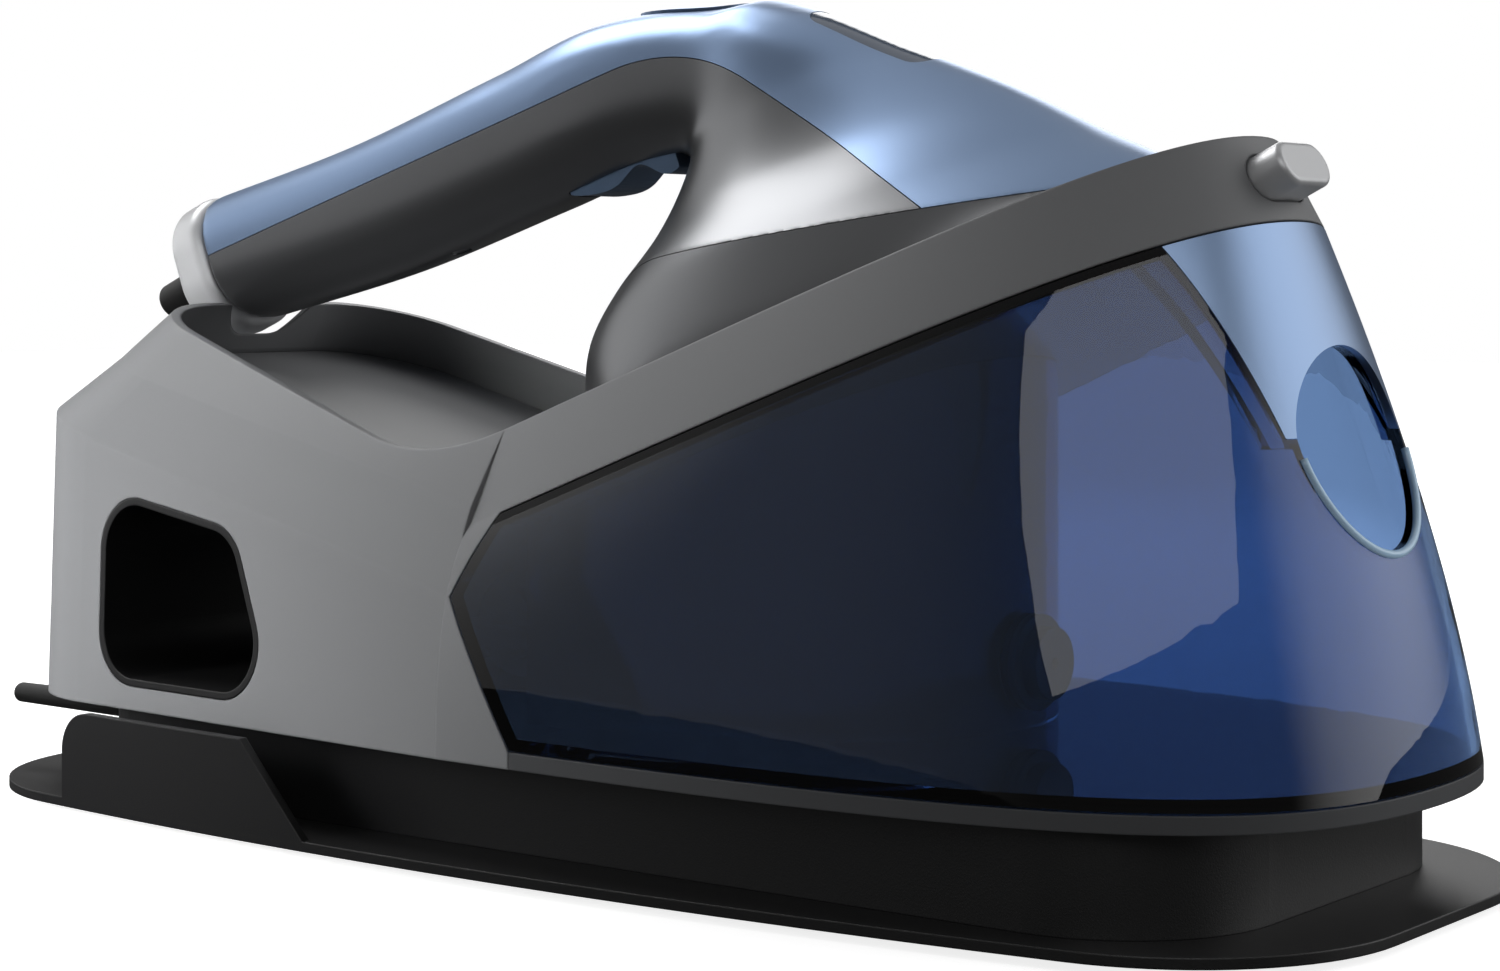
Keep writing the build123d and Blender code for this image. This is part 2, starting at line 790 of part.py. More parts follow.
# Deck: the dark band under the tank, carried back inside the housing
deck_front = nose_section(deck_z, 0, skirt_w, skirt_nose_x, skirt_side, 0)
deck_mid = nose_section(deck_z, 0, skirt_w, skirt_nose_x, skirt_side, wall + seat)
deck_rear = rear_section(deck_z, 0, skirt_w, skirt_rear, wall + gap + seat)
post_x = board_x
post_y = board_w / 2 - post_in
with BuildPart() as deck:
    extrude(deck_front, amount=deck_t)
    split(bisect_by=Plane.YZ.offset(tank_foot_x + seat), keep=Keep.TOP)
    extrude(deck_mid, amount=deck_t)
    extrude(deck_rear, amount=deck_t)
    with Locations((post_x, -post_y, deck_top), (post_x, post_y, deck_top)):
        Box(post_t, post_w, post_h, align=on_floor)
        Box(board_t + 2 * pin_fit, post_w, post_h, align=on_floor, mode=Mode.SUBTRACT)
    with Locations(*[(x, y, deck_z) for x, y, rib in housing_bosses]):
        Cylinder(screw_d / 2 + seat, deck_t, align=on_floor, mode=Mode.SUBTRACT)
    with Locations((drop_x, drop_y, deck_z)):
        Cylinder(steam_tube_d / 2 + gap, deck_t, align=on_floor, mode=Mode.SUBTRACT)
save(deck, "deck")

with BuildPart() as housing_screws:
    with Locations(*[(x, y, deck_z) for x, y, rib in housing_bosses]):
        Cylinder(screw_d / 2, deck_t + boss_h - wall - gap, align=on_floor)
        Cylinder(screw_head_d / 2, screw_head_h, align=(Align.CENTER, Align.CENTER, Align.MAX))
save(housing_screws, "housing_screws")

# Bulkhead behind the tank
rest_low = hoop_low_z(joint_x) + (rest_floor_up - rest_t) / cos(atan(dock_slope))
core_top = tilted(rest_low, dock_slope)


def core_column(inset):
    with BuildPart() as column:
        extrude(nose_section(deck_top, 0, core_w, core_nose_x, core_side, inset), amount=far)
    return column.part


coupler_axis = Plane((core_nose_x, 0, deck_top + pump_up), x_dir=(0, 1, 0), z_dir=(1, 0, 0))
coupler_back = core_wall + collar_clear
with BuildPart() as bulkhead:
    add(core_column(0))
    add(core_column(core_wall), mode=Mode.SUBTRACT)
    split(bisect_by=core_top, keep=Keep.BOTTOM)
    with BuildSketch(coupler_axis):
        Circle(coupler_d / 2 + seat)
    extrude(amount=2 * core_wall, both=True, mode=Mode.SUBTRACT)
save(bulkhead, "bulkhead")

with BuildPart() as tank_coupler:
    with BuildSketch(coupler_axis.offset(-coupler_back)):
        Circle(coupler_d / 2)
    extrude(amount=coupler_back + coupler_l)
    with BuildSketch(coupler_axis.offset(-coupler_back)):
        Circle(coupler_d / 2 + coupler_collar)
    extrude(amount=-coupler_collar)
    with BuildSketch(coupler_axis.offset(coupler_l)):
        Circle(tube_d / 4)
    extrude(amount=-(coupler_l + coupler_back + coupler_collar), mode=Mode.SUBTRACT)
save(tank_coupler, "tank_coupler")

# Iron rest: a tray that lies on the bulkhead and fills the rim of the housing
strip_drop = rest_t / 2 / cos(atan(dock_slope))
rear_floor = saddle_z - rest_rear_drop
strip_x = (rear_floor + rim_fall * rim_saddle_x - floor_z(0)) / (dock_slope + rim_fall)
strip_mid = (strip_x, floor_z(strip_x) - strip_drop)
strip_front = (far, floor_z(far) - strip_drop)
strip_back = (-far, strip_mid[1] + rim_fall * (far + strip_x))
rest_inset = wall + seat
with BuildPart() as rest_strip:
    with BuildSketch(Plane.XZ):
        with BuildLine() as strip_line:
            FilletPolyline(strip_back, strip_mid, strip_front, radius=rest_saddle_r)
        trace(line_width=rest_t)
    extrude(amount=far, both=True)
with BuildPart() as iron_rest:
    add(rear_form(rest_inset))
    add(hoop_form(rest_inset))
    add(rest_strip.part, mode=Mode.INTERSECT)
    with BuildSketch(lock_plane.offset(-lock_flange_back - lock_flange_t - lock_stroke - gap)):
        SlotOverall(lock_w + 2 * (lock_flange + gap), lock_h + 2 * (lock_flange + gap))
    extrude(amount=far, mode=Mode.SUBTRACT)
save(iron_rest, "iron_rest")

# Water tank: it wraps the bulkhead and pulls off to the front
mouth_z = deck_top + mouth_mid_up
mouth_x = core_nose_x + mouth_ahead


def mouth_prism(grow):
    with BuildPart() as prism:
        with BuildSketch(Plane.YZ.offset(mouth_x)):
            with BuildLine():
                ThreePointArc((-mouth_w / 2, mouth_z), (0, mouth_z + mouth_rise), (mouth_w / 2, mouth_z))
                ThreePointArc((-mouth_w / 2, mouth_z), (0, mouth_z - mouth_drop), (mouth_w / 2, mouth_z))
            make_face()
            if grow > 0:
                offset(amount=grow)
        extrude(amount=far)
    return prism.part


def shield_prism(grow):
    # front view of the nose cover, from the hoop down to the middle of the mouth
    with BuildPart() as prism:
        with BuildSketch(Plane.YZ.offset(mouth_x)):
            with BuildLine():
                Polyline(
                    (-cover_low_w / 2, mouth_z),
                    (cover_low_w / 2, mouth_z),
                    (cover_top_w / 2, hoop_low_z(hoop_low_nose_x)),
                    (-cover_top_w / 2, hoop_low_z(hoop_low_nose_x)),
                    close=True,
                )
            make_face()
            if grow > 0:
                offset(amount=grow, kind=Kind.INTERSECTION)
        extrude(amount=far)
    return prism.part


cover_depth = cover_t + seat
with BuildPart() as cover_bed:
    add(shield_prism(seat + tank_wall))
    add(tank_form(cover_depth + tank_wall), mode=Mode.SUBTRACT)
with BuildPart() as tank_space:
    add(tank_form(tank_wall))
    add(side_prism(*tank_outline, grow=-(gap + tank_wall)), mode=Mode.INTERSECT)
    add(core_column(-(gap + tank_wall)), mode=Mode.SUBTRACT)
    add(cover_bed.part, mode=Mode.SUBTRACT)
with BuildPart() as cover_pocket:
    add(shield_prism(seat))
    add(tank_form(cover_depth), mode=Mode.SUBTRACT)
with BuildPart() as water_tank:
    add(tank_outer)
    add(side_prism(*tank_outline, grow=-gap), mode=Mode.INTERSECT)
    add(core_column(-gap), mode=Mode.SUBTRACT)
    add(tank_space.part, mode=Mode.SUBTRACT)
    add(mouth_prism(0), mode=Mode.SUBTRACT)
    add(cover_pocket.part, mode=Mode.SUBTRACT)
    with BuildSketch(coupler_axis):
        Circle(valve_d / 2 + seat)
    extrude(amount=socket_l, mode=Mode.SUBTRACT)
save(water_tank, "water_tank")

with BuildPart() as nose_cover:
    add(tank_outer)
    add(tank_form(cover_t), mode=Mode.SUBTRACT)
    add(side_prism(*tank_outline, grow=-gap), mode=Mode.INTERSECT)
    add(shield_prism(0), mode=Mode.INTERSECT)
    add(mouth_prism(0), mode=Mode.SUBTRACT)
save(nose_cover, "nose_cover")

seal_back = gap + tank_wall + seat
valve_face = coupler_axis.offset(gap)
with BuildPart() as tank_valve:
    with BuildSketch(valve_face):
        Circle(valve_d / 2)
    extrude(amount=socket_l)
    with BuildSketch(coupler_axis.offset(seal_back + seal_t)):
        Circle(valve_flange_d / 2)
    extrude(amount=seal_t)
    with BuildSketch(valve_face):
        Circle(coupler_d / 2 + gap)
    extrude(amount=coupler_l + gap, mode=Mode.SUBTRACT)
    with BuildSketch(valve_face):
        Circle(tube_d / 4)
    extrude(amount=socket_l, mode=Mode.SUBTRACT)
save(tank_valve, "tank_valve")

with BuildPart() as tank_seal:
    with BuildSketch(coupler_axis.offset(seal_back)):
        Circle(valve_flange_d / 2)
        Circle(valve_d / 2 + seat, mode=Mode.SUBTRACT)
    extrude(amount=seal_t)
save(tank_seal, "tank_seal")

# Boiler on its legs, with its lid, heater and valves
boiler_z = deck_top + boiler_leg_h
lid_z = boiler_z + boiler_h
with BuildPart() as boiler_pot:
    with Locations((boiler_x, 0, boiler_z)):
        Cylinder(boiler_d / 2, boiler_h, align=on_floor)
    with Locations((boiler_x, 0, lid_z)):
        Cylinder(flange_d / 2, flange_t, align=(Align.CENTER, Align.CENTER, Align.MAX))
    with Locations((boiler_x, 0, boiler_z + boiler_wall)):
        Cylinder(
            boiler_d / 2 - boiler_wall,
            boiler_h,
            align=on_floor,
            mode=Mode.SUBTRACT,
        )
    with Locations((boiler_x, 0, deck_top)):
        with PolarLocations(boiler_leg_r, boiler_legs):
            Cylinder(boiler_leg_d / 2, boiler_leg_h, align=on_floor)
    with Locations((boiler_x, 0, lid_z)):
        with PolarLocations(flange_bolt_r, flange_bolts, start_angle=bolt_angle):
            Cylinder(flange_bolt_d / 2 + seat, 4 * flange_t, mode=Mode.SUBTRACT)
save(boiler_pot, "boiler_pot")

with BuildPart() as boiler_lid:
    with Locations((boiler_x, 0, lid_z)):
        Cylinder(flange_d / 2, flange_t, align=on_floor)
        with PolarLocations(flange_bolt_r, flange_bolts, start_angle=bolt_angle):
            Cylinder(flange_bolt_d / 2 + seat, 4 * flange_t, mode=Mode.SUBTRACT)
save(boiler_lid, "boiler_lid")

with BuildPart() as boiler_bolts:
    with Locations((boiler_x, 0, lid_z)):
        with PolarLocations(flange_bolt_r, flange_bolts, start_angle=bolt_angle):
            Cylinder(flange_bolt_d / 2, 2 * flange_t)
    with BuildSketch(Plane((boiler_x, 0, lid_z + flange_t)), Plane((boiler_x, 0, lid_z - 2 * flange_t))):
        with PolarLocations(flange_bolt_r, flange_bolts, start_angle=bolt_angle):
            RegularPolygon(flange_bolt_d * bolt_head, 6)
    extrude(amount=flange_t)
save(boiler_bolts, "boiler_bolts")

with BuildPart() as boiler_heater:
    with Locations((boiler_x, 0, boiler_z - heater_d / 2)):
        Torus(heater_r, heater_d / 2)
save(boiler_heater, "boiler_heater")

lid_top = lid_z + flange_t
with BuildPart() as safety_valve:
    with Locations((*safety_spot, lid_top)):
        Cylinder(safety_d / 2, safety_h / 3, align=on_floor)
        Cylinder(safety_d / 3, safety_h, align=on_floor)
    chamfer(safety_valve.edges().group_by(Axis.Z)[-1], length=safety_d / 8)
save(safety_valve, "safety_valve")

with BuildPart() as solenoid_valve:
    with Locations((*solenoid_spot, lid_top)):
        Cylinder(solenoid_w / 3, solenoid_h, align=on_floor)
    with Locations((*solenoid_spot, lid_top + solenoid_h * coil_low)):
        Box(solenoid_w, solenoid_w, solenoid_h * coil_share, align=on_floor)
    fillet(solenoid_valve.edges().filter_by(Axis.Z).filter_by(GeomType.LINE), radius=solenoid_w / 10)
save(solenoid_valve, "solenoid_valve")

with BuildPart() as boiler_thermostat:
    with Locations((*thermostat_spot, lid_top)):
        Cylinder(thermostat_d / 2, thermostat_h / 2, align=on_floor)
        Cylinder(thermostat_d / 3, thermostat_h, align=on_floor)
save(boiler_thermostat, "boiler_thermostat")

# Pump on its bracket, and the tubes
pump_z = deck_top + pump_up
with BuildPart() as water_pump:
    with Locations((pump_x, 0, pump_z)):
        Cylinder(pump_d / 2, pump_l * pump_body, rotation=(90, 0, 0))
        Cylinder(pump_d / 3, pump_l * pump_neck, rotation=(90, 0, 0))
        Cylinder(tube_d / 2, pump_l, rotation=(90, 0, 0))
save(water_pump, "water_pump")

with BuildPart() as pump_bracket:
    with Locations((pump_x, 0, deck_top)):
        Box(pump_d, pump_l / 3, pump_up, align=on_floor)
    with Locations((pump_x, 0, pump_z)):
        Cylinder(pump_d / 2 + seat, pump_l, rotation=(90, 0, 0), mode=Mode.SUBTRACT)
save(pump_bracket, "pump_bracket")


def tube(name, points, diameter, bend):
    with BuildPart() as pipe:
        with BuildLine() as run:
            FilletPolyline(*points, radius=bend)
        with BuildSketch(Plane(run.line @ 0, z_dir=run.line % 0)):
            Circle(diameter / 2)
        sweep()
    save(pipe, name)


pump_end = pump_l / 2 + seat
collar_x = core_nose_x - coupler_back - coupler_collar - seat
tube(
    "inlet_tube",
    (
        (collar_x, 0, pump_z),
        (collar_x - inlet_run, 0, pump_z),
        (boiler_x + inlet_bend_x, inlet_bend_y, pump_z),
        (boiler_x + inlet_turn_x, side_run_y, pump_z),
        (pump_x, side_run_y, pump_z),
        (pump_x, pump_end, pump_z),
    ),
    tube_d,
    tube_d,
)
feed_y = boiler_d / 2 + seat
tube(
    "feed_tube",
    (
        (pump_x, -pump_end, pump_z),
        (pump_x, -side_run_y, pump_z),
        (boiler_x, -side_run_y, pump_z),
        (boiler_x, -feed_y, pump_z),
    ),
    tube_d,
    tube_d,
)
steam_z = lid_top + steam_tube_d / 2 + gap
gland_z = plate_top + gland_up
tube(
    "steam_tube",
    (
        (solenoid_spot[0] - solenoid_w / 3 - seat, solenoid_spot[1], steam_z),
        (drop_x, solenoid_spot[1], steam_z),
        (drop_x, drop_y, lid_z),
        (drop_x, drop_y, gland_z),
        (pedestal_rear_x + gland_far_x, drop_y, gland_z),
        (pedestal_rear_x + gland_near_x, gland_y, gland_z),
        (pedestal_rear_x + 2 * pedestal_wall + seat, gland_y, gland_z),
    ),
    steam_tube_d,
    steam_tube_d,
)

# Control board in its two posts, behind the hose bay
board_z = deck_top + gap
with BuildPart() as control_board:
    with Locations((board_x, 0, board_z)):
        Box(board_t, board_w, board_h, align=on_floor)
save(control_board, "control_board")

board_face_x = board_x + board_t / 2
with BuildPart() as power_relay:
    with Locations((board_face_x, -board_w / 4, board_z + board_h / 2)):
        Box(relay_t, relay_w, relay_w, align=(Align.MIN, Align.CENTER, Align.CENTER))
    fillet(power_relay.edges().filter_by(Axis.X), radius=relay_t / 10)
save(power_relay, "power_relay")

with BuildPart() as terminal_block:
    with Locations((board_face_x, board_w / 4, board_z + board_h / 2)):
        Box(relay_t, 2 * relay_w, relay_w / 2, align=(Align.MIN, Align.CENTER, Align.CENTER))
    with Locations((board_face_x + relay_t, board_w / 4, board_z + board_h / 2)):
        with GridLocations(0, relay_w / 2, 1, 4):
            Box(relay_t / 2, relay_w / 4, relay_w / 4, mode=Mode.SUBTRACT)
save(terminal_block, "terminal_block")

# Pads that carry the docked iron
pad_spots = [(u, v) for u in (pad_rear_u, pad_front_u) for v in (-pad_v, pad_v)]
with BuildPart() as rest_pads:
    with BuildSketch(iron_plane.offset(-lift_gap)):
        with Locations(*pad_spots):
            Circle(pad_d / 2)
    extrude(amount=-pad_h)
    fillet(rest_pads.faces().filter_by(iron_plane).edges().group_by(SortBy.LENGTH)[-1], radius=pad_h / 4)
save(rest_pads, "rest_pads")

# Soleplate, steam chamber and heater
hole_spots = []
for row in range(hole_rows):
    for side in (-1, 1):
        hole_spots.append((hole_u + row * hole_step, side * (hole_v - row * hole_fall)))
with BuildPart() as soleplate:
    extrude(sole_section(0, sole_heel, sole_nose, sole_w, sole_widest, 0), amount=sole_t)
    with BuildSketch(iron_plane):
        with Locations(*hole_spots):
            Circle(steam_hole_d / 2)
    extrude(amount=sole_t, mode=Mode.SUBTRACT)
save(soleplate, "soleplate")

with BuildPart() as steam_chamber:
    with BuildSketch(iron_plane.offset(sole_t)) as chamber_plan:
        with BuildLine():
            Polyline(
                (chamber_u, -chamber_w / 2),
                (chamber_wide_u, -chamber_w / 2),
                (chamber_nose_u, 0),
                (chamber_wide_u, chamber_w / 2),
                (chamber_u, chamber_w / 2),
                close=True,
            )
        make_face()
        fillet(chamber_plan.vertices(), radius=chamber_r)
    extrude(amount=chamber_h)
save(steam_chamber, "steam_chamber")

heat_plane = iron_plane.offset(sole_t + heat_tube_d / 2)
with BuildPart() as iron_heater:
    with BuildLine(heat_plane) as heat_line:
        FilletPolyline(
            (heat_u, -heat_w / 2),
            (heat_wide_u, -heat_w / 2),
            (heat_nose_u, 0),
            (heat_wide_u, heat_w / 2),
            (heat_u, heat_w / 2),
            radius=heat_bend,
        )
    with BuildSketch(Plane(heat_line.line @ 0, z_dir=heat_line.line % 0)):
        Circle(heat_tube_d / 2)
    sweep()
save(iron_heater, "iron_heater")

chamber_top = sole_t + chamber_h
with BuildPart() as iron_thermostat:
    with BuildSketch(iron_plane.offset(chamber_top)):
        with Locations((iron_thermostat_u, 0)):
            Circle(thermostat_d / 2)
    extrude(amount=thermostat_h / 2)
    with BuildSketch(iron_plane.offset(chamber_top)):
        with Locations((iron_thermostat_u, 0)):
            Circle(thermostat_d / 3)
    extrude(amount=thermostat_h)
save(iron_thermostat, "iron_thermostat")


# The iron's skin is parted along two lines on its side view
def above_seam(back_off):
    rear_h = seam_bend_h + (seam_rear_h - seam_bend_h) * (far + seam_bend_u) / (seam_bend_u - tail_u)
    nose_h = seam_nose_h - (seam_bend_h - seam_nose_h) * (far - seam_nose_u) / (seam_nose_u - seam_bend_u)
    with BuildPart() as zone:
        with BuildSketch(iron_side):
            with BuildLine():
                FilletPolyline((-far, rear_h), (seam_bend_u, seam_bend_h), (far, nose_h), radius=seam_r)
                Polyline((far, nose_h), (far, 2 * far), (-far, 2 * far), (-far, rear_h))
            make_face()
            if back_off > 0:
                offset(amount=-back_off, kind=Kind.INTERSECTION)
        extrude(amount=far, both=True)
    return zone.part


def below_crease(back_off):
    nose_h = crease_h - crease_fall * (far - crease_u)
    rear_h = crease_h - crease_fall * (crease_rear_u - crease_u)
    with BuildPart() as zone:
        with BuildSketch(iron_side):
            with BuildLine():
                FilletPolyline(
                    (far, nose_h),
                    (crease_rear_u, rear_h),
                    (crease_heel_u, -sole_t),
                    radius=crease_rear_r,
                )
                Polyline((crease_heel_u, -sole_t), (crease_heel_u, -far), (far, -far), (far, nose_h))
            make_face()
            if back_off > 0:
                offset(amount=-back_off, kind=Kind.INTERSECTION)
        extrude(amount=far, both=True)
    return zone.part


seam_zone = above_seam(0)
crease_zone = below_crease(0)
with BuildPart() as iron_skirt:
    add(iron_skin.part)
    add(below_crease(seam_gap), mode=Mode.INTERSECT)
save(iron_skirt, "iron_skirt")

with BuildPart() as iron_shell:
    add(iron_skin.part)
    add(seam_zone, mode=Mode.SUBTRACT)
    add(crease_zone, mode=Mode.SUBTRACT)
    with BuildSketch(iron_plane.offset(trigger_slot_low)):
        with Locations(((trigger_rear_u + trigger_front_u + trigger_swing) / 2, 0)):
            Rectangle(trigger_front_u - trigger_rear_u + trigger_swing + 2 * gap, trigger_w + 2 * gap)
    extrude(amount=pivot_h - trigger_slot_low, mode=Mode.SUBTRACT)
    with BuildSketch(iron_plane.offset(screw_seat_h)):
        with Locations((handle_screw_u, 0)):
            Circle(handle_screw_head_d / 2 + seat)
    extrude(amount=-2 * iron_wall, mode=Mode.SUBTRACT)
    with BuildSketch(iron_plane.offset(screw_seat_h)):
        with Locations((handle_screw_u, 0)):
            Circle(handle_screw_d / 2 + seat)
    extrude(amount=2 * iron_wall, mode=Mode.SUBTRACT)
save(iron_shell, "iron_shell")

# Steam button on the crest of the handle and the indicator window in front of it
button_oval = Plane((button_x, 0, button_post_z - 2 * button_t))
window_plane = Plane(
    (window_x, 0, window_z),
    x_dir=(cos(radians(window_lean)), 0, -sin(radians(window_lean))),
    z_dir=(sin(radians(window_lean)), 0, cos(radians(window_lean))),
)
with BuildPart() as button_hole:
    with BuildSketch(button_oval):
        Ellipse(button_l / 2 + gap, button_w / 2 + gap)
    extrude(amount=far)
with BuildPart() as button_shape:
    with BuildSketch(button_oval):
        Ellipse(button_l / 2, button_w / 2)
    extrude(amount=far)
with BuildPart() as window_hole:
    with BuildSketch(window_plane):
        RectangleRounded(window_l + 2 * seat, window_w + 2 * seat, window_w / 3 + seat)
    extrude(amount=window_w, both=True)
with BuildPart() as window_shape:
    with BuildSketch(window_plane):
        RectangleRounded(window_l, window_w, window_w / 3)
    extrude(amount=window_w, both=True)
with BuildPart() as handle_cover:
    add(iron_skin.part)
    add(above_seam(seam_gap), mode=Mode.INTERSECT)
    add(crease_zone, mode=Mode.SUBTRACT)
    add(button_hole.part, mode=Mode.SUBTRACT)
    add(window_hole.part, mode=Mode.SUBTRACT)
save(handle_cover, "handle_cover")

with BuildPart() as steam_button:
    add(body_form(-button_proud))
    add(handle_form(-button_proud))
    add(body_form(button_t), mode=Mode.SUBTRACT)
    add(handle_form(button_t), mode=Mode.SUBTRACT)
    add(button_shape.part, mode=Mode.INTERSECT)
save(steam_button, "steam_button")

with BuildPart() as indicator_window:
    add(body_form(window_recess))
    add(body_form(window_recess + window_t), mode=Mode.SUBTRACT)
    add(window_shape.part, mode=Mode.INTERSECT)
save(indicator_window, "indicator_window")

# End of the handle
with BuildPart() as handle_end_cap:
    with BuildSketch(cross_plane(tail_u - seat)):
        with Locations((0, tail_mid)):
            RectangleRounded(tail_w + 2 * cap_lip, tail_h + 2 * cap_lip, handle_r + cap_lip)
    extrude(amount=-cap_l)
    fillet(handle_end_cap.faces().sort_by(Axis.X)[0].edges(), radius=cap_round)
    with BuildSketch(cross_plane(tail_u - seat)):
        with Locations((0, tail_mid)):
            RectangleRounded(tail_w - 2 * cap_wall, tail_h - 2 * cap_wall, handle_r - cap_wall)
    extrude(amount=cap_wall - cap_l, mode=Mode.SUBTRACT)
    with BuildSketch(cross_plane(tail_u)):
        with Locations((0, tail_mid)):
            Circle(hose_boot_d / 2 + seat)
    extrude(amount=-2 * cap_l, mode=Mode.SUBTRACT)
save(handle_end_cap, "handle_end_cap")

boot_u = tail_u - cap_l + cap_wall
with BuildPart() as hose_boot:
    with BuildSketch(cross_plane(boot_u)):
        with Locations((0, tail_mid)):
            Circle(hose_boot_d / 2)
    extrude(amount=-(hose_boot_l + cap_wall), taper=hose_boot_taper)
    with BuildSketch(cross_plane(boot_u)):
        with Locations((0, tail_mid)):
            Circle(hose_boot_d / 2 + hose_boot_flange)
    extrude(amount=hose_boot_flange)
    fillet(hose_boot.edges().sort_by(Axis.X)[0], radius=hose_boot_d / 8)
save(hose_boot, "hose_boot")

# Carrier inside the handle for trigger, switch and steam button
lug_v = trigger_w / 2 + gap + seat
post_plane = Plane((button_x, 0, button_post_z))
with BuildPart() as handle_carrier:
    with BuildSketch(iron_plane.offset(carrier_h)):
        with Locations(((carrier_rear_u + carrier_front_u) / 2, 0)):
            RectangleRounded(carrier_front_u - carrier_rear_u, carrier_w, carrier_w / 4)
        with Locations((pivot_u, 0)):
            Rectangle(lug_u, 2 * (lug_v + lug_t))
    extrude(amount=carrier_t)
    with BuildSketch(iron_plane.offset(lug_low_h)):
        with Locations((pivot_u, -lug_v - lug_t / 2), (pivot_u, lug_v + lug_t / 2)):
            Rectangle(lug_u, lug_t)
    extrude(amount=carrier_h - lug_low_h)
    with BuildSketch(iron_plane.offset(carrier_h)):
        with Locations((handle_screw_u, 0)):
            Circle(boss_d / 2)
    extrude(amount=handle_low_h + iron_wall + screw_boss_clear - carrier_h)
    with BuildSketch(iron_plane.offset(handle_low_h)):
        with Locations((handle_screw_u, 0)):
            Circle(handle_screw_d / 2)
    extrude(amount=carrier_h - handle_low_h, mode=Mode.SUBTRACT)
    with BuildSketch(iron_side):
        with Locations((pivot_u, pivot_h)):
            Circle(pin_d / 2 + pin_fit)
    extrude(amount=carrier_w, both=True, mode=Mode.SUBTRACT)
    with BuildSketch(post_plane):
        Circle(button_post_d / 2)
    extrude(until=Until.NEXT, dir=(0, 0, -1))
save(handle_carrier, "handle_carrier")

with BuildPart() as handle_screw:
    with BuildSketch(iron_plane.offset(screw_seat_h)):
        with Locations((handle_screw_u, 0)):
            Circle(handle_screw_head_d / 2)
    extrude(amount=-handle_screw_head_h)
    with BuildSketch(iron_plane.offset(screw_seat_h)):
        with Locations((handle_screw_u, 0)):
            Circle(handle_screw_d / 2)
    extrude(amount=carrier_h - screw_seat_h - gap)
save(handle_screw, "handle_screw")

with BuildPart() as trigger_pin:
    with BuildSketch(iron_side):
        with Locations((pivot_u, pivot_h)):
            Circle(pin_d / 2)
    extrude(amount=lug_v + lug_t, both=True)
save(trigger_pin, "trigger_pin")

belly_h = handle_low_h - trigger_belly_drop
lobe_h = handle_low_h - trigger_lobe_drop
with BuildPart() as trigger:
    with BuildSketch(iron_side):
        with BuildLine():
            under = Spline(
                (trigger_rear_u, handle_low_h - trigger_rear_drop),
                (trigger_rear_u + trigger_belly_u, belly_h + trigger_belly_rise),
                (trigger_rear_u + trigger_belly_u + trigger_belly_l, belly_h),
                (trigger_scoop_u, handle_low_h - trigger_scoop_drop),
                (trigger_front_u - trigger_lobe_u, lobe_h + trigger_lobe_rise),
                (trigger_front_u, lobe_h),
            )
            Polyline(
                under @ 1,
                (trigger_front_u, pivot_h + trigger_top_up),
                (trigger_rear_u, pivot_h + trigger_top_up),
                under @ 0,
            )
        make_face()
    extrude(amount=trigger_w / 2, both=True)
    with BuildSketch(iron_side):
        with Locations((pivot_u, pivot_h)):
            Circle(pin_d / 2 + pin_fit)
    extrude(amount=trigger_w, both=True, mode=Mode.SUBTRACT)
    with BuildSketch(iron_side.offset(trigger_w / 2)):
        with Locations((pivot_u, pivot_h)):
            Circle(coil_room)
    extrude(amount=hub_w - trigger_w, mode=Mode.SUBTRACT)
save(trigger, "trigger")

coil_l = trigger_w - hub_w - 2 * spring_wire
coil_start = iron_point(pivot_u, spring_wire - trigger_w / 2, pivot_h)
with BuildPart() as trigger_spring:
    with BuildLine() as coil:
        Helix(coil_l / coil_turns, coil_l, coil_r, center=coil_start, direction=(0, 1, 0))
    with BuildSketch(Plane(coil.line @ 0, z_dir=coil.line % 0)):
        Circle(spring_wire / 2)
    sweep(is_frenet=True)
save(trigger_spring, "trigger_spring")

with BuildPart() as trigger_switch:
    with BuildSketch(iron_plane.offset(carrier_h)):
        with Locations((switch_u, 0)):
            Rectangle(switch_l, switch_w)
    extrude(amount=-switch_h)
    with BuildSketch(iron_plane.offset(carrier_h - switch_h)):
        with Locations((switch_u, 0)):
            Circle(switch_w / 5)
    extrude(amount=-switch_w / 5)
save(trigger_switch, "trigger_switch")

button_coil_l = button_low_z - button_post_z - 2 * spring_wire
with BuildPart() as button_spring:
    with BuildLine() as coil:
        Helix(
            button_coil_l / coil_turns,
            button_coil_l,
            coil_r,
            center=(button_x, 0, button_post_z + spring_wire),
        )
    with BuildSketch(Plane(coil.line @ 0, z_dir=coil.line % 0)):
        Circle(spring_wire / 2)
    sweep(is_frenet=True)
save(button_spring, "button_spring")

steam_points = []
for u, v, h in (
    (tail_u + steam_tail_u, steam_run_v, tail_mid - steam_tail_drop),
    (tail_u / 2, steam_run_v, steam_run_h + steam_mid_rise),
    (switch_u, steam_run_v, steam_run_h),
    (steam_inlet_u - steam_dip_u, steam_run_v, steam_run_h - steam_dip),
    (steam_inlet_u, 0, steam_run_h - steam_fall),
    (steam_inlet_u, 0, chamber_top + seat),
):
    steam_points.append(iron_point(u, v, h))
tube("iron_steam_tube", steam_points, tube_d, tube_d)

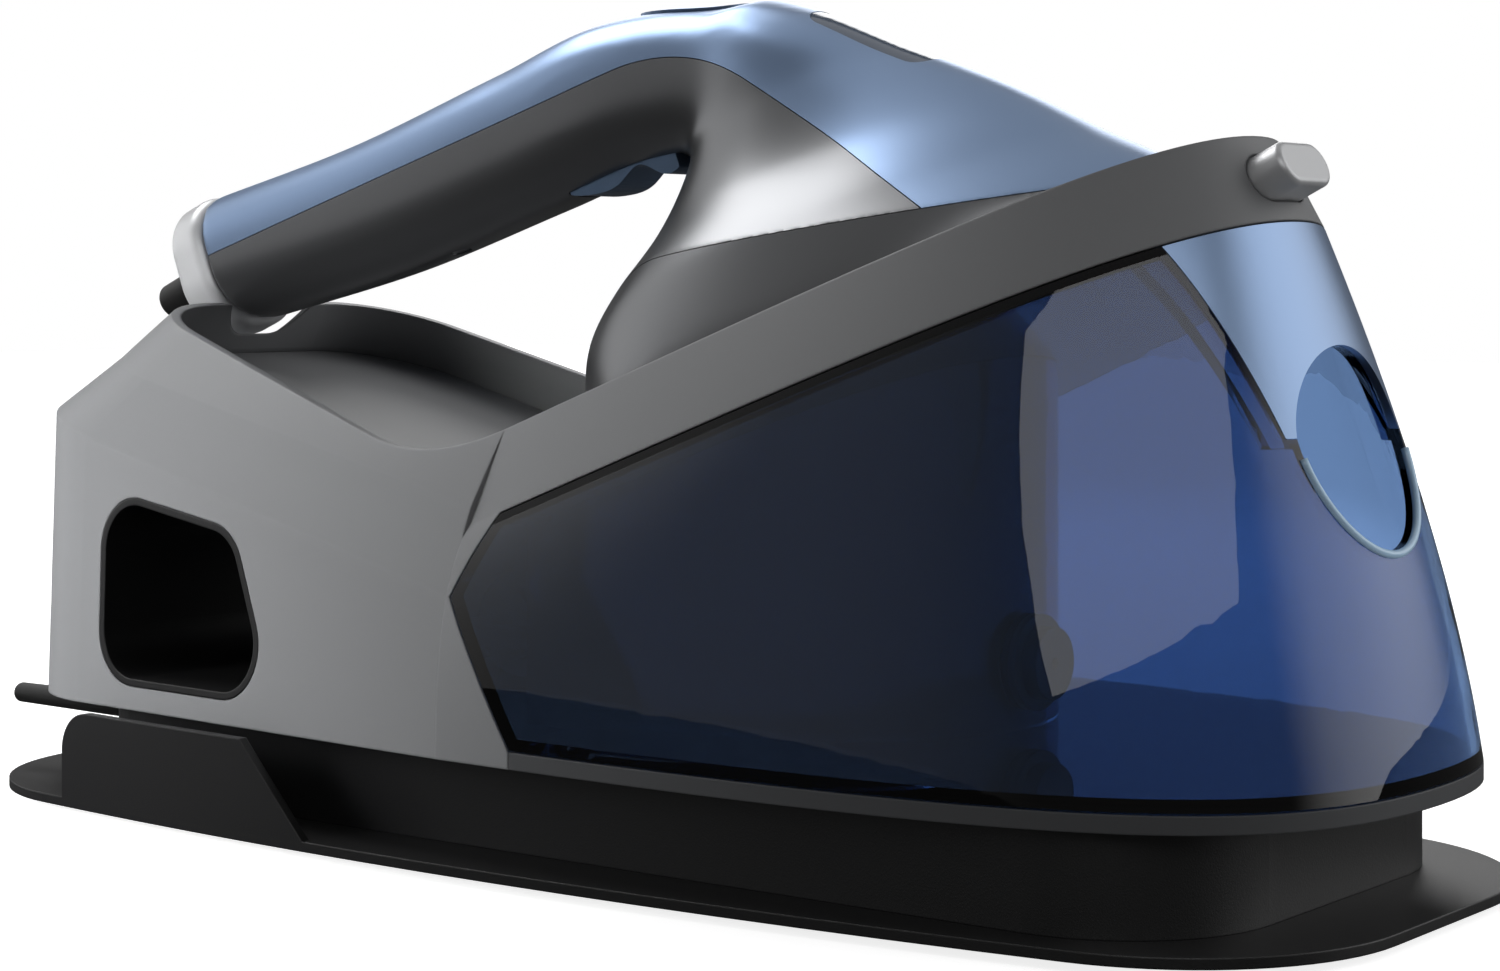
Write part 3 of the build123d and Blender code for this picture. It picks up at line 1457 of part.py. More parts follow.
# Lock button in the hoop's nose, its bracket on the rest and the spring between them
with BuildPart() as lock_button:
    with BuildSketch(lock_plane.offset(-lock_flange_back)):
        SlotOverall(lock_w, lock_h)
    extrude(amount=lock_flange_back + lock_proud)
    fillet(lock_button.faces().sort_by(Axis(lock_mid, lock_plane.z_dir))[-1].edges(), radius=lock_round)
    with BuildSketch(lock_plane.offset(-lock_flange_back)):
        SlotOverall(lock_w + 2 * lock_flange, lock_h + 2 * lock_flange)
    extrude(amount=-lock_flange_t)
save(lock_button, "lock_button")

floor_side = Plane((heel_x, 0, floor_z(heel_x)), x_dir=iron_x, z_dir=iron_h)
with BuildPart() as lock_bracket:
    with BuildSketch(lock_plane.offset(-bracket_back)):
        Rectangle(lock_bracket_w, 2 * lock_h)
    extrude(amount=-lock_bracket_t)
    split(bisect_by=floor_side, keep=Keep.TOP)
    split(bisect_by=floor_side.offset(lock_bracket_h), keep=Keep.BOTTOM)
save(lock_bracket, "lock_bracket")

lock_room = bracket_back - lock_flange_back - lock_flange_t - lock_stroke - gap
lock_coil_l = lock_room - 2 * spring_wire
with BuildPart() as lock_spring:
    with BuildLine() as coil:
        Helix(
            lock_coil_l / coil_turns,
            lock_coil_l,
            coil_r,
            center=lock_plane.offset(spring_wire - bracket_back).origin,
            direction=lock_plane.z_dir,
        )
    with BuildSketch(Plane(coil.line @ 0, z_dir=coil.line % 0)):
        Circle(spring_wire / 2)
    sweep(is_frenet=True)
save(lock_spring, "lock_spring")
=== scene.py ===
import json
import math

import bmesh
import bpy
from mathutils import Matrix, Vector


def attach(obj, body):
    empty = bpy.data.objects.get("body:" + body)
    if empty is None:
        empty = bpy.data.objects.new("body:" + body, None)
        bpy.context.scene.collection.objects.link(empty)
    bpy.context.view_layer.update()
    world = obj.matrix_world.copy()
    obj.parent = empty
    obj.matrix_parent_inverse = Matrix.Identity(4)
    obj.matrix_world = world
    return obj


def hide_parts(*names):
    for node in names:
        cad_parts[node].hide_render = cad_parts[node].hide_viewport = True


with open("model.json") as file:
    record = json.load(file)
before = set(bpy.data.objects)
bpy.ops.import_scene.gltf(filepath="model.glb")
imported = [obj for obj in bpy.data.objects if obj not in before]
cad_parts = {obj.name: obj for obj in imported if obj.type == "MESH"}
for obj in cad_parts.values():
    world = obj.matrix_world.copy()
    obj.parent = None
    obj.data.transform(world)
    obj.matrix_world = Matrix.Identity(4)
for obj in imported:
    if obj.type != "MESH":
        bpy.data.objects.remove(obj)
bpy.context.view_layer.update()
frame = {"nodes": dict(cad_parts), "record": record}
print("frame loaded")

# Sizes are in millimetres unless a comment says metres, and mm turns them to metres
mm = 0.001
# The dock rises towards the nose, and the iron lies on its slope, lifted by the rest and its pads
dock = {"slope": 0.40, "heelX": -21.0, "heelZ": 83.0, "lift": 7.5}
tilt = math.atan(dock["slope"])
alongU = Vector((math.cos(tilt), 0, math.sin(tilt)))  # along the soleplate, from its heel
alongH = Vector((-math.sin(tilt), 0, math.cos(tilt)))  # square to the soleplate
heel = Vector((dock["heelX"], 0, dock["heelZ"] + dock["lift"] / math.cos(tilt)))


# Colours and materials
def hexColour(text):
    parts = []
    for i in (1, 3, 5):
        value = int(text[i:i + 2], 16) / 255
        parts.append(value / 12.92 if value <= 0.04045 else ((value + 0.055) / 1.055) ** 2.4)
    return (*parts, 1.0)


def addNode(tree, kind, settings=(), links=()):
    node = tree.nodes.new(kind)
    for name, value in settings:
        if isinstance(name, int) or name in node.inputs:
            node.inputs[name].default_value = value
        else:
            setattr(node, name, value)
    for source, output, name in links:
        tree.links.new(source.outputs[output], node.inputs[name])
    return node


def newTree(name):
    material = bpy.data.materials.new(name)
    material.use_nodes = True
    material.node_tree.nodes.clear()
    return material, material.node_tree


# Real moulding grain is finer than the sizes here, and is drawn coarser so that it shows
grainDepth = 0.2
grainDetail = 2.0


def makeFinish(name, colour, roughness, metallic=0.0, gloss=0.5, grain=0.0, size=0.4, edge=0.0, coat=0.0):
    material, tree = newTree(name)
    shader = addNode(tree, "ShaderNodeBsdfPrincipled", (
        ("Base Color", hexColour(colour)),
        ("Roughness", roughness),
        ("Metallic", metallic),
        ("Specular IOR Level", gloss),
        ("Coat Weight", coat),
        ("Coat Roughness", 0.12),
    ))
    normal = None
    if edge > 0:
        normal = addNode(tree, "ShaderNodeBevel", (("samples", 6), ("Radius", edge * mm)))
    if grain > 0:
        place = addNode(tree, "ShaderNodeTexCoord")
        noise = addNode(
            tree,
            "ShaderNodeTexNoise",
            (("Scale", 1 / (size * mm)), ("Detail", grainDetail)),
            ((place, "Object", "Vector"),),
        )
        bumpLinks = [(noise, "Fac", "Height")]
        if normal:
            bumpLinks.append((normal, "Normal", "Normal"))
        bump = (("Strength", grain), ("Distance", grainDepth * mm))
        normal = addNode(tree, "ShaderNodeBump", bump, bumpLinks)
    if normal:
        tree.links.new(normal.outputs["Normal"], shader.inputs["Normal"])
    addNode(tree, "ShaderNodeOutputMaterial", (), ((shader, "BSDF", "Surface"),))
    material.diffuse_color = hexColour(colour)
    return material


# Painted shade: a black band on the tank's top edge for the shade in the gap under the hoop, along a line
# through a point of the hoop's lower edge
hoopGapShade = {"hoop": (-13.0, 0, 86.2), "depth": 2.6, "colour": "#060607"}


def makeTank(name, colour):
    material, tree = newTree(name)
    clear = addNode(tree, "ShaderNodeBsdfPrincipled", (
        ("Base Color", hexColour(colour)),
        ("Roughness", 0.0),
        ("Transmission Weight", 1.0),
        ("IOR", 1.45),
    ))
    # black band: painted shade of the gap under the hoop
    gapShade = addNode(tree, "ShaderNodeBsdfPrincipled", (
        ("Base Color", hexColour(hoopGapShade["colour"])),
        ("Roughness", 0.6),
        ("Specular IOR Level", 0.1),
    ))
    place = addNode(tree, "ShaderNodeTexCoord")
    height = addNode(
        tree,
        "ShaderNodeVectorMath",
        (("operation", "DOT_PRODUCT"), (1, alongH)),
        ((place, "Object", 0),),
    )
    stripLow = Vector(hoopGapShade["hoop"]).dot(alongH) - hoopGapShade["depth"]
    upper = addNode(
        tree, "ShaderNodeMath", (("operation", "GREATER_THAN"), (1, stripLow * mm)), ((height, "Value", 0),)
    )
    both = addNode(
        tree, "ShaderNodeMixShader", (), ((upper, "Value", 0), (clear, "BSDF", 1), (gapShade, "BSDF", 2))
    )
    addNode(tree, "ShaderNodeOutputMaterial", (), ((both, "Shader", "Surface"),))
    material.diffuse_color = hexColour(colour)
    return material


finishes = {
    # satin moulding: soft, wide highlights and rounded edges
    "housing_grey": dict(
        name="satin grey ABS", colour="#7c7d7f", roughness=0.45, gloss=0.2, grain=0.06, edge=1.0
    ),
    # moulding with metal flake under a satin lacquer: dark, with bright streaks where it curves
    "gunmetal": dict(name="gunmetal ABS", colour="#6c6d6f", roughness=0.30, metallic=0.85, grain=0.04),
    # grained mouldings of the base: almost no highlight
    "black_plastic": dict(name="black ABS", colour="#131314", roughness=0.42, grain=0.2, edge=0.6),
    # plain mouldings behind and inside: dull
    "dark_plastic": dict(name="dark grey ABS", colour="#38393b", roughness=0.5, edge=0.6),
    # satin band under the housing, darker than it
    "deck_grey": dict(
        name="dark satin ABS", colour="#4c4d4f", roughness=0.45, gloss=0.2, grain=0.06, edge=0.6
    ),
    # boots, feet, pads and seals: matt, with a coarser grain
    "black_rubber": dict(name="black rubber", colour="#121212", roughness=0.62, grain=0.3, size=0.55),
    # sprayed cover of the iron and nose of the tank: a cool sheen
    "metallic_blue": dict(
        name="silver-blue lacquer", colour="#7c91b0", roughness=0.32, metallic=0.85, grain=0.03
    ),
    # end cap and lock button, sprayed lighter: a pale satin sheen
    "satin_silver": dict(
        name="silver lacquer", colour="#b9babc", roughness=0.38, metallic=0.35, grain=0.04, edge=0.6
    ),
    # moulding with a little flake: darker than the cover, with a soft sheen
    "trigger_blue": dict(name="blue-grey ABS", colour="#4d6078", roughness=0.36, metallic=0.35, grain=0.05),
    # polished inlay: a sharp reflection over a dark ground
    "window_dark": dict(name="smoked acrylic", colour="#4b5a70", roughness=0.12, coat=0.5),
    # rim of the clear moulding: painted light, a pale colour for the light that runs inside the wall and
    # comes out at its edge
    "tank_edge": dict(name="painted edge light of blue SAN", colour="#b3d3ee", roughness=0.2),
    # drawn and turned pieces: bright, a little blurred
    "steel": dict(name="bright steel", colour="#b9bbbd", roughness=0.28, metallic=1.0),
    # polished soleplate: nearly a mirror
    "sole_steel": dict(name="polished steel", colour="#c9cbcd", roughness=0.16, metallic=1.0),
    # as cast, rough to the eye
    "cast_aluminium": dict(
        name="cast aluminium", colour="#a9abad", roughness=0.5, metallic=1.0, grain=0.3, size=1.1
    ),
    # turned valves: warm and bright
    "brass": dict(name="brass", colour="#b08d4a", roughness=0.3, metallic=1.0),
    # plain inner mouldings and tubes: pale and dull
    "white_plastic": dict(name="white nylon", colour="#e4e4df", roughness=0.45),
    "tube_silicone": dict(name="milky silicone", colour="#dcdcd6", roughness=0.5),
    # green board under clear varnish
    "circuit_board": dict(name="glass-fibre board", colour="#1f5a37", roughness=0.45),
}
materials = {slot: makeFinish(**finish) for slot, finish in finishes.items()}
# clear moulded wall: dark blue through two layers, sharp reflections, and a black painted shade along its top
# edge, where the gap under the hoop is
materials["tank_blue"] = makeTank("blue SAN", "#5d79a3")

nodeLooks = {entry["node"]: entry["material_slot"] for entry in frame["record"]["subparts"]}
# the seat behind the iron is as light as the housing around it, and the band is darker
nodeLooks["deck"] = "deck_grey"
nodeLooks["iron_rest"] = "housing_grey"
for name, node in frame["nodes"].items():
    node.data.materials.clear()
    node.data.materials.append(materials[nodeLooks[name]])
print("materials made")


def finishPiece(mesh, name, body, slot, *nodes):
    piece = bpy.data.objects.new(name, mesh)
    bpy.context.scene.collection.objects.link(piece)
    mesh.materials.clear()
    mesh.materials.append(materials[slot])
    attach(piece, body)
    if nodes:
        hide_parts(*nodes)
    return piece


def meshFrom(work, name):
    bmesh.ops.recalc_face_normals(work, faces=work.faces)
    mesh = bpy.data.meshes.new(name)
    work.to_mesh(mesh)
    work.free()
    return mesh


def joinLoops(work, loops):
    # walls between edge loops that follow one another, and a face over each end
    for a, b in zip(loops, loops[1:]):
        bmesh.ops.bridge_loops(work, edges=a + b)
    bmesh.ops.holes_fill(work, edges=loops[0] + loops[-1], sides=0)


# Trigger: the CAD piece with round edges
triggerEdges = {"radius": 1.2, "segments": 2, "sharpest": math.radians(28), "flattest": math.radians(0.5)}
triggerMesh = frame["nodes"]["trigger"].data.copy()
triggerWork = bmesh.new()
triggerWork.from_mesh(triggerMesh)
bmesh.ops.remove_doubles(triggerWork, verts=triggerWork.verts, dist=0.002 * mm)
bmesh.ops.dissolve_limit(
    triggerWork, angle_limit=triggerEdges["flattest"], verts=triggerWork.verts, edges=triggerWork.edges
)
bmesh.ops.bevel(
    triggerWork,
    geom=[e for e in triggerWork.edges if e.is_manifold and e.calc_face_angle() > triggerEdges["sharpest"]],
    offset=triggerEdges["radius"] * mm,
    offset_type="OFFSET",
    affect="EDGES",
    segments=triggerEdges["segments"],
    profile=0.5,
    material=-1,
    clamp_overlap=True,
)
triggerWork.to_mesh(triggerMesh)
triggerWork.free()
triggerMesh.shade_smooth()
triggerMesh.set_sharp_from_angle(angle=triggerEdges["sharpest"])
finishPiece(triggerMesh, "triggerLook", "trigger", "trigger_blue", "trigger")

# Rim along the lower half of the filling mouth, a bead on the tank's outside, coloured with the painted light
# of the wall's cut edge
rim = {
    "middleZ": 112.02, "radius": 26.32, "start": 188.0, "turn": 164.0, "steps": 60, "bead": 1.0, "sides": 12,
    "ahead": 300.0,  # rays start here, in front of the nose, and look back
}
rimPath = []
for i in range(rim["steps"] + 1):
    turn = math.radians(rim["start"] + rim["turn"] * i / rim["steps"])
    outward = Vector((0, math.cos(turn), math.sin(turn))) * rim["radius"]
    start = (Vector((rim["ahead"], 0, rim["middleZ"])) + outward) * mm
    hit, place, normal, face = frame["nodes"]["water_tank"].ray_cast(start, Vector((-1, 0, 0)))
    if hit:
        rimPath.append(place)
rimWork = bmesh.new()
rimLoops = []
for i, place in enumerate(rimPath):
    along = rimPath[min(i + 1, len(rimPath) - 1)] - rimPath[max(i - 1, 0)]
    ring = bmesh.ops.create_circle(
        rimWork,
        segments=rim["sides"],
        radius=rim["bead"] * mm,
        matrix=Matrix.Translation(place) @ along.to_track_quat("Z", "X").to_matrix().to_4x4(),
    )
    rimLoops.append(list({edge for vert in ring["verts"] for edge in vert.link_edges}))
joinLoops(rimWork, rimLoops)
rimMesh = meshFrom(rimWork, "mouthRim")
rimMesh.shade_smooth()
finishPiece(rimMesh, "mouthRim", "tank", "tank_blue")
rimMesh.materials[0] = materials["tank_edge"]
print("station pieces made")

# The iron's skin: smooth through the same sections as the CAD, blended where handle and body meet
# Body rows: height over the soleplate, rear, nose, half width, place of the widest point
bodySections = (
    (6.4, 6.5, 188.0, 54.5, 60.0),
    (18.0, 11.0, 185.0, 54.0, 62.0),
    (36.0, 18.0, 168.0, 46.0, 66.0),
    (55.0, 39.0, 149.5, 31.0, 80.0),
    (75.0, 56.0, 127.0, 22.0, 88.0),
    (92.0, 58.0, 107.0, 19.0, 85.0),
    (104.0, 60.0, 90.0, 15.0, 75.0),
)
# Handles of the curves round the body, as shares of its half width or of the way to its ends
bodyCurve = {
    "rearSide": 0.75, "rearReach": 0.6, "frontReach": 0.45, "noseSide": 0.45, "steps": 28, "levels": 60,
}
# Handle rows: place along the soleplate, height of the middle, height, width
handleSections = (
    (-122.0, 117.5, 40.0, 36.0),
    (-60.0, 108.3, 41.0, 37.0),
    (0.0, 103.7, 42.0, 37.0),
    (42.0, 100.3, 42.0, 38.0),
    (85.0, 84.0, 38.0, 36.0),
)
handleCurve = {"corner": 15.5, "steps": 10, "stations": 70}
# Smoothing: along a line in the side view, fading out over the last part of its reach
junction = {"start": (50.0, 78.0), "end": (86.0, 102.0), "reach": 24.0, "fade": 16.0, "rounds": 90}
skin = {
    "voxel": 1.1, "fineRounds": 20, "thickness": 2.0, "halfGap": 0.12, "weld": 0.03,
    "sharpest": math.radians(40),
}


def ironPoint(u, v, h):
    return (heel + alongU * u + alongH * h + Vector((0, v, 0))) * mm


def ironCoordinates(point):
    offset = point / mm - heel
    return offset.dot(alongU), offset.y, offset.dot(alongH)


def smoothTable(table, at):
    # cubic through the rows, by their first column
    index = max(i for i in range(len(table) - 1) if at >= table[i][0] or i == 0)
    low, high = table[index], table[index + 1]
    before = table[index - 1] if index > 0 else None
    after = table[index + 2] if index + 2 < len(table) else None
    span = high[0] - low[0]
    t = (at - low[0]) / span
    values = []
    for column in range(1, len(low)):
        chord = (high[column] - low[column]) / span
        slopeLow = (high[column] - before[column]) / (high[0] - before[0]) if before else chord
        slopeHigh = (after[column] - low[column]) / (after[0] - low[0]) if after else chord
        values.append(
            (2 * t ** 3 - 3 * t ** 2 + 1) * low[column]
            + (t ** 3 - 2 * t ** 2 + t) * span * slopeLow
            + (3 * t ** 2 - 2 * t ** 3) * high[column]
            + (t ** 3 - t ** 2) * span * slopeHigh
        )
    return values


def bezierPoint(points, t):
    a, b, c, d = (Vector(p) for p in points)
    s = 1 - t
    return a * s ** 3 + b * (3 * s * s * t) + c * (3 * s * t * t) + d * t ** 3


def bodyRing(h):
    rear, nose, half, widest = smoothTable(bodySections, h)
    rearSide = -bodyCurve["rearSide"] * half
    rearReach = widest - bodyCurve["rearReach"] * (widest - rear)
    frontReach = widest + bodyCurve["frontReach"] * (nose - widest)
    noseSide = -bodyCurve["noseSide"] * half
    back = ((rear, 0), (rear, rearSide), (rearReach, -half), (widest, -half))
    front = ((widest, -half), (frontReach, -half), (nose, noseSide), (nose, 0))
    steps = bodyCurve["steps"]
    near = [bezierPoint(curve, i / steps) for curve in (back, front) for i in range(steps)]
    far = [(u, -v) for u, v in reversed(near[1:])]
    return [ironPoint(u, v, h) for u, v in near + [(nose, 0)] + far]


def handleRing(u):
    middle, height, width = smoothTable(handleSections, u)
    radius = handleCurve["corner"]
    ring = []
    for corner, (sideV, sideH) in enumerate(((1, 1), (-1, 1), (-1, -1), (1, -1))):
        for i in range(handleCurve["steps"] + 1):
            turn = math.radians(90 * (corner + i / handleCurve["steps"]))
            v = sideV * (width / 2 - radius) + radius * math.cos(turn)
            h = middle + sideH * (height / 2 - radius) + radius * math.sin(turn)
            ring.append(ironPoint(u, v, h))
    return ring


def addTube(work, rings):
    loops = []
    for ring in rings:
        verts = [work.verts.new(point) for point in ring]
        loops.append([work.edges.new((verts[i - 1], verts[i])) for i in range(len(verts))])
    joinLoops(work, loops)


def evenSteps(table, count):
    first, last = table[0][0], table[-1][0]
    return [first + (last - first) * i / count for i in range(count + 1)]


def evaluatedMesh(piece):
    graph = bpy.context.evaluated_depsgraph_get()
    return bpy.data.meshes.new_from_object(piece.evaluated_get(graph))


formWork = bmesh.new()
addTube(formWork, [bodyRing(h) for h in evenSteps(bodySections, bodyCurve["levels"])])
addTube(formWork, [handleRing(u) for u in evenSteps(handleSections, handleCurve["stations"])])
formMesh = meshFrom(formWork, "ironForm")
ironForm = bpy.data.objects.new("ironForm", formMesh)
bpy.context.scene.collection.objects.link(ironForm)
remesh = ironForm.modifiers.new("join", "REMESH")
remesh.mode = "VOXEL"
remesh.voxel_size = skin["voxel"] * mm
joinedMesh = evaluatedMesh(ironForm)
bpy.data.objects.remove(ironForm)

blendObject = bpy.data.objects.new("ironBlend", joinedMesh)
bpy.context.scene.collection.objects.link(blendObject)
group = blendObject.vertex_groups.new(name="junction")
junctionStart = Vector(junction["start"])
junctionRun = Vector(junction["end"]) - junctionStart
for vertex in joinedMesh.vertices:
    u, v, h = ironCoordinates(vertex.co)
    offset = Vector((u, h)) - junctionStart
    share = min(max(offset.dot(junctionRun) / junctionRun.length_squared, 0), 1)
    distance = (offset - junctionRun * share).length
    weight = min(max((junction["reach"] - distance) / junction["fade"], 0), 1)
    if weight > 0:
        group.add((vertex.index,), weight, "REPLACE")
blendSmooth = blendObject.modifiers.new("blend", "SMOOTH")
blendSmooth.vertex_group = "junction"
blendSmooth.factor = 0.5
blendSmooth.iterations = junction["rounds"]
fineSmooth = blendObject.modifiers.new("fine", "SMOOTH")
fineSmooth.factor = 0.5
fineSmooth.iterations = skin["fineRounds"]
skinMesh = evaluatedMesh(blendObject)
bpy.data.objects.remove(blendObject)

# Lines that part the skin, in the side view, with slopes of rise along the soleplate
seam = {"corner": (71.2, 101.7), "rearSlope": -0.0821, "frontSlope": -1.152, "round": 17.8}
crease = {"rear": (36.0, 49.8), "rearSlope": 1.612, "front": (60.0, 44.0), "frontSlope": -0.24, "round": 22.7}
# The skirt's top edge stands out along the crease, and the crest runs over the button in one arc
creaseEdge = {"height": 2.2, "reach": 16.0}
crest = {"middleX": 18.0, "reach": 48.0, "height": 2.6}


def smoothMax(a, b, k):
    return max(a, b) + max(k - abs(a - b), 0) ** 2 / (4 * k)


def aboveLine(u, h, start, slope):
    return (h - start[1] - slope * (u - start[0])) * math.cos(math.atan(slope))


def aboveSeam(point):
    u, v, h = ironCoordinates(point)
    rear = aboveLine(u, h, seam["corner"], seam["rearSlope"])
    front = aboveLine(u, h, seam["corner"], seam["frontSlope"])
    return smoothMax(rear, front, seam["round"])


def inSkirt(point):
    u, v, h = ironCoordinates(point)
    behind = aboveLine(u, h, crease["rear"], crease["rearSlope"])
    above = aboveLine(u, h, crease["front"], crease["frontSlope"])
    return -smoothMax(behind, above, crease["round"])


shifts = []
for vertex in skinMesh.vertices:
    side = vertex.normal - alongH * vertex.normal.dot(alongH)
    near = max(1 - abs(inSkirt(vertex.co)) / creaseEdge["reach"], 0)
    along = min(abs(vertex.co.x / mm - crest["middleX"]) / crest["reach"], 1)
    lift = crest["height"] * (1 - along ** 2) ** 2 * max(vertex.normal.z, 0) ** 2
    shifts.append((side * creaseEdge["height"] * near ** 2 + Vector((0, 0, lift))) * mm)
for vertex, shift in zip(skinMesh.vertices, shifts):
    vertex.co += shift
skinMesh.update()
print("iron form made", len(skinMesh.polygons))

# Openings and inlays of the skin
button = {
    "middleX": -2.0, "halfLength": 19.0, "halfWidth": 7.5, "gap": 0.5, "proud": 0.8, "thickness": 3.0,
    "lowest": 200.0,  # the outline counts only on the crest, above this height
}
window = {
    "middle": (58.5, 0, 211.7), "lean": 17.6, "halfLength": 20.0, "halfWidth": 8.0, "corner": 5.3,
    "gap": 0.15, "sunk": 0.15, "thickness": 1.5,
    "depth": 25.0,  # the outline counts only so far below its middle
}
windowMiddle = Vector(window["middle"])
windowLean = math.radians(window["lean"])
windowAlong = Vector((math.cos(windowLean), 0, -math.sin(windowLean)))
windowNormal = Vector((math.sin(windowLean), 0, math.cos(windowLean)))
# Slot and screw hole are in the handle's underside: they count only below high, and the slot above low
triggerSlot = {"middleU": 31.8, "halfLength": 21.0, "halfWidth": 8.0, "low": 72.0, "high": 92.0}
screwHole = {"u": -39.0, "radius": 3.2, "high": 95.0}
openEdges = {"tailU": -121.7, "soleH": 6.7}
farAway = 50.0  # what a field says where its outline doesn't count


# Each field is positive where skin stays, and about the distance to its outline
def buttonField(point):
    if point.z < button["lowest"] * mm:
        return farAway
    x = (point.x / mm - button["middleX"]) / button["halfLength"]
    y = point.y / mm / button["halfWidth"]
    return (math.hypot(x, y) - 1) * button["halfWidth"]


def windowField(point):
    offset = point / mm - windowMiddle
    if offset.z < -window["depth"]:
        return farAway
    dx = abs(offset.dot(windowAlong)) - window["halfLength"] + window["corner"]
    dy = abs(offset.y) - window["halfWidth"] + window["corner"]
    return math.hypot(max(dx, 0), max(dy, 0)) + min(max(dx, dy), 0) - window["corner"]


def slotField(point):
    u, v, h = ironCoordinates(point)
    if not triggerSlot["low"] < h < triggerSlot["high"]:
        return farAway
    return max(abs(u - triggerSlot["middleU"]) - triggerSlot["halfLength"], abs(v) - triggerSlot["halfWidth"])


def screwField(point):
    u, v, h = ironCoordinates(point)
    if h > screwHole["high"]:
        return farAway
    return math.hypot(u - screwHole["u"], v) - screwHole["radius"]


def openEnds(point):
    # the form's flat ends at tail and soleplate stay open
    u, v, h = ironCoordinates(point)
    return min(u - openEdges["tailU"], h - openEdges["soleH"])


def cutSkin(name, *fields):
    # keeps what is positive in every field, with the faces cut where a field crosses zero
    work = bmesh.new()
    work.from_mesh(skinMesh)
    for field in fields:
        values = {vert: field(vert.co) for vert in work.verts}
        cuts = []
        for edge in list(work.edges):
            a, b = edge.verts
            if values[a] * values[b] < 0:
                vert = bmesh.utils.edge_split(edge, a, values[a] / (values[a] - values[b]))[1]
                values[vert] = 0.0
                cuts.append(vert)
        bmesh.ops.connect_verts(work, verts=cuts)
        bmesh.ops.delete(work, geom=[vert for vert in work.verts if values[vert] < 0], context="VERTS")
    bmesh.ops.remove_doubles(work, verts=work.verts, dist=skin["weld"] * mm)
    return meshFrom(work, name)


def addSkin(mesh, body, slot, thickness, node, shift=Vector((0, 0, 0))):
    name = mesh.name
    mesh.transform(Matrix.Translation(shift * mm))
    mesh.shade_smooth()
    piece = finishPiece(mesh, name, body, slot, node)
    solidify = piece.modifiers.new("thickness", "SOLIDIFY")
    solidify.thickness = thickness * mm
    solidify.offset = -1
    solidify.use_even_offset = False
    solidify.use_rim = True
    wall = evaluatedMesh(piece)
    piece.modifiers.clear()
    piece.data = wall
    wall.set_sharp_from_angle(angle=skin["sharpest"])


coverMesh = cutSkin(
    "handleCoverLook",
    openEnds,
    lambda p: aboveSeam(p) - skin["halfGap"],
    lambda p: -inSkirt(p) - skin["halfGap"],
    lambda p: buttonField(p) - button["gap"],
    lambda p: windowField(p) - window["gap"],
)
addSkin(coverMesh, "iron", "metallic_blue", skin["thickness"], "handle_cover")
shellMesh = cutSkin(
    "ironShellLook",
    openEnds,
    lambda p: -aboveSeam(p) - skin["halfGap"],
    lambda p: -inSkirt(p) - skin["halfGap"],
    slotField,
    screwField,
)
addSkin(shellMesh, "iron", "gunmetal", skin["thickness"], "iron_shell")
skirtMesh = cutSkin("ironSkirtLook", openEnds, lambda p: inSkirt(p) - skin["halfGap"])
addSkin(skirtMesh, "iron", "gunmetal", skin["thickness"], "iron_skirt")
windowMesh = cutSkin("indicatorWindowLook", lambda p: -windowField(p))
windowShift = windowNormal * -window["sunk"]
addSkin(windowMesh, "iron", "window_dark", window["thickness"], "indicator_window", windowShift)
buttonMesh = cutSkin("steamButtonLook", lambda p: -buttonField(p))
buttonShift = Vector((0, 0, button["proud"]))
addSkin(buttonMesh, "steam_button", "metallic_blue", button["thickness"], "steam_button", buttonShift)
bpy.data.meshes.remove(skinMesh)
print("iron pieces made")


# Stage, in metres
def seenDirectly(tree):
    # 1 for what the camera sees, straight or through the clear tank
    path = addNode(tree, "ShaderNodeLightPath")
    links = ((path, "Is Camera Ray", 0), (path, "Is Transmission Ray", 1))
    return path, addNode(tree, "ShaderNodeMath", (("operation", "MAXIMUM"),), links)


# Paper: white to the camera, with a little of the real shadow near the object, and dim in mirrors
floorSize = {"half": 4.0, "shadowNear": 0.3, "shadowFar": 0.8, "shadowGlow": 0.82, "mirrored": 0.05}
floorMaterial, tree = newTree("white paper")
path, seen = seenDirectly(tree)
paper = addNode(tree, "ShaderNodeBsdfDiffuse", (("Color", hexColour("#d8d8d8")),))
shade = addNode(
    tree, "ShaderNodeEmission", (("Color", hexColour("#ffffff")), ("Strength", floorSize["mirrored"]))
)
mirrored = addNode(
    tree, "ShaderNodeMixShader", (), ((path, "Is Glossy Ray", 0), (paper, "BSDF", 1), (shade, "Emission", 2))
)
place = addNode(tree, "ShaderNodeTexCoord")
away = addNode(tree, "ShaderNodeVectorMath", (("operation", "LENGTH"),), ((place, "Object", 0),))
level = addNode(tree, "ShaderNodeMapRange", (
    ("From Min", floorSize["shadowNear"]),
    ("From Max", floorSize["shadowFar"]),
    ("To Min", floorSize["shadowGlow"]),
    ("To Max", 1.0),
), ((away, "Value", "Value"),))
glow = addNode(
    tree, "ShaderNodeEmission", (("Color", hexColour("#ffffff")),), ((level, "Result", "Strength"),)
)
shadowed = addNode(tree, "ShaderNodeAddShader", (), ((paper, "BSDF", 0), (glow, "Emission", 1)))
mixed = addNode(
    tree, "ShaderNodeMixShader", (), ((seen, "Value", 0), (mirrored, "Shader", 1), (shadowed, "Shader", 2))
)
addNode(tree, "ShaderNodeOutputMaterial", (), ((mixed, "Shader", "Surface"),))
floorWork = bmesh.new()
bmesh.ops.create_grid(floorWork, x_segments=1, y_segments=1, size=floorSize["half"])
floorMesh = bpy.data.meshes.new("floor")
floorWork.to_mesh(floorMesh)
floorWork.free()
floor = bpy.data.objects.new("floor", floorMesh)
bpy.context.scene.collection.objects.link(floor)
floorMesh.materials.append(floorMaterial)

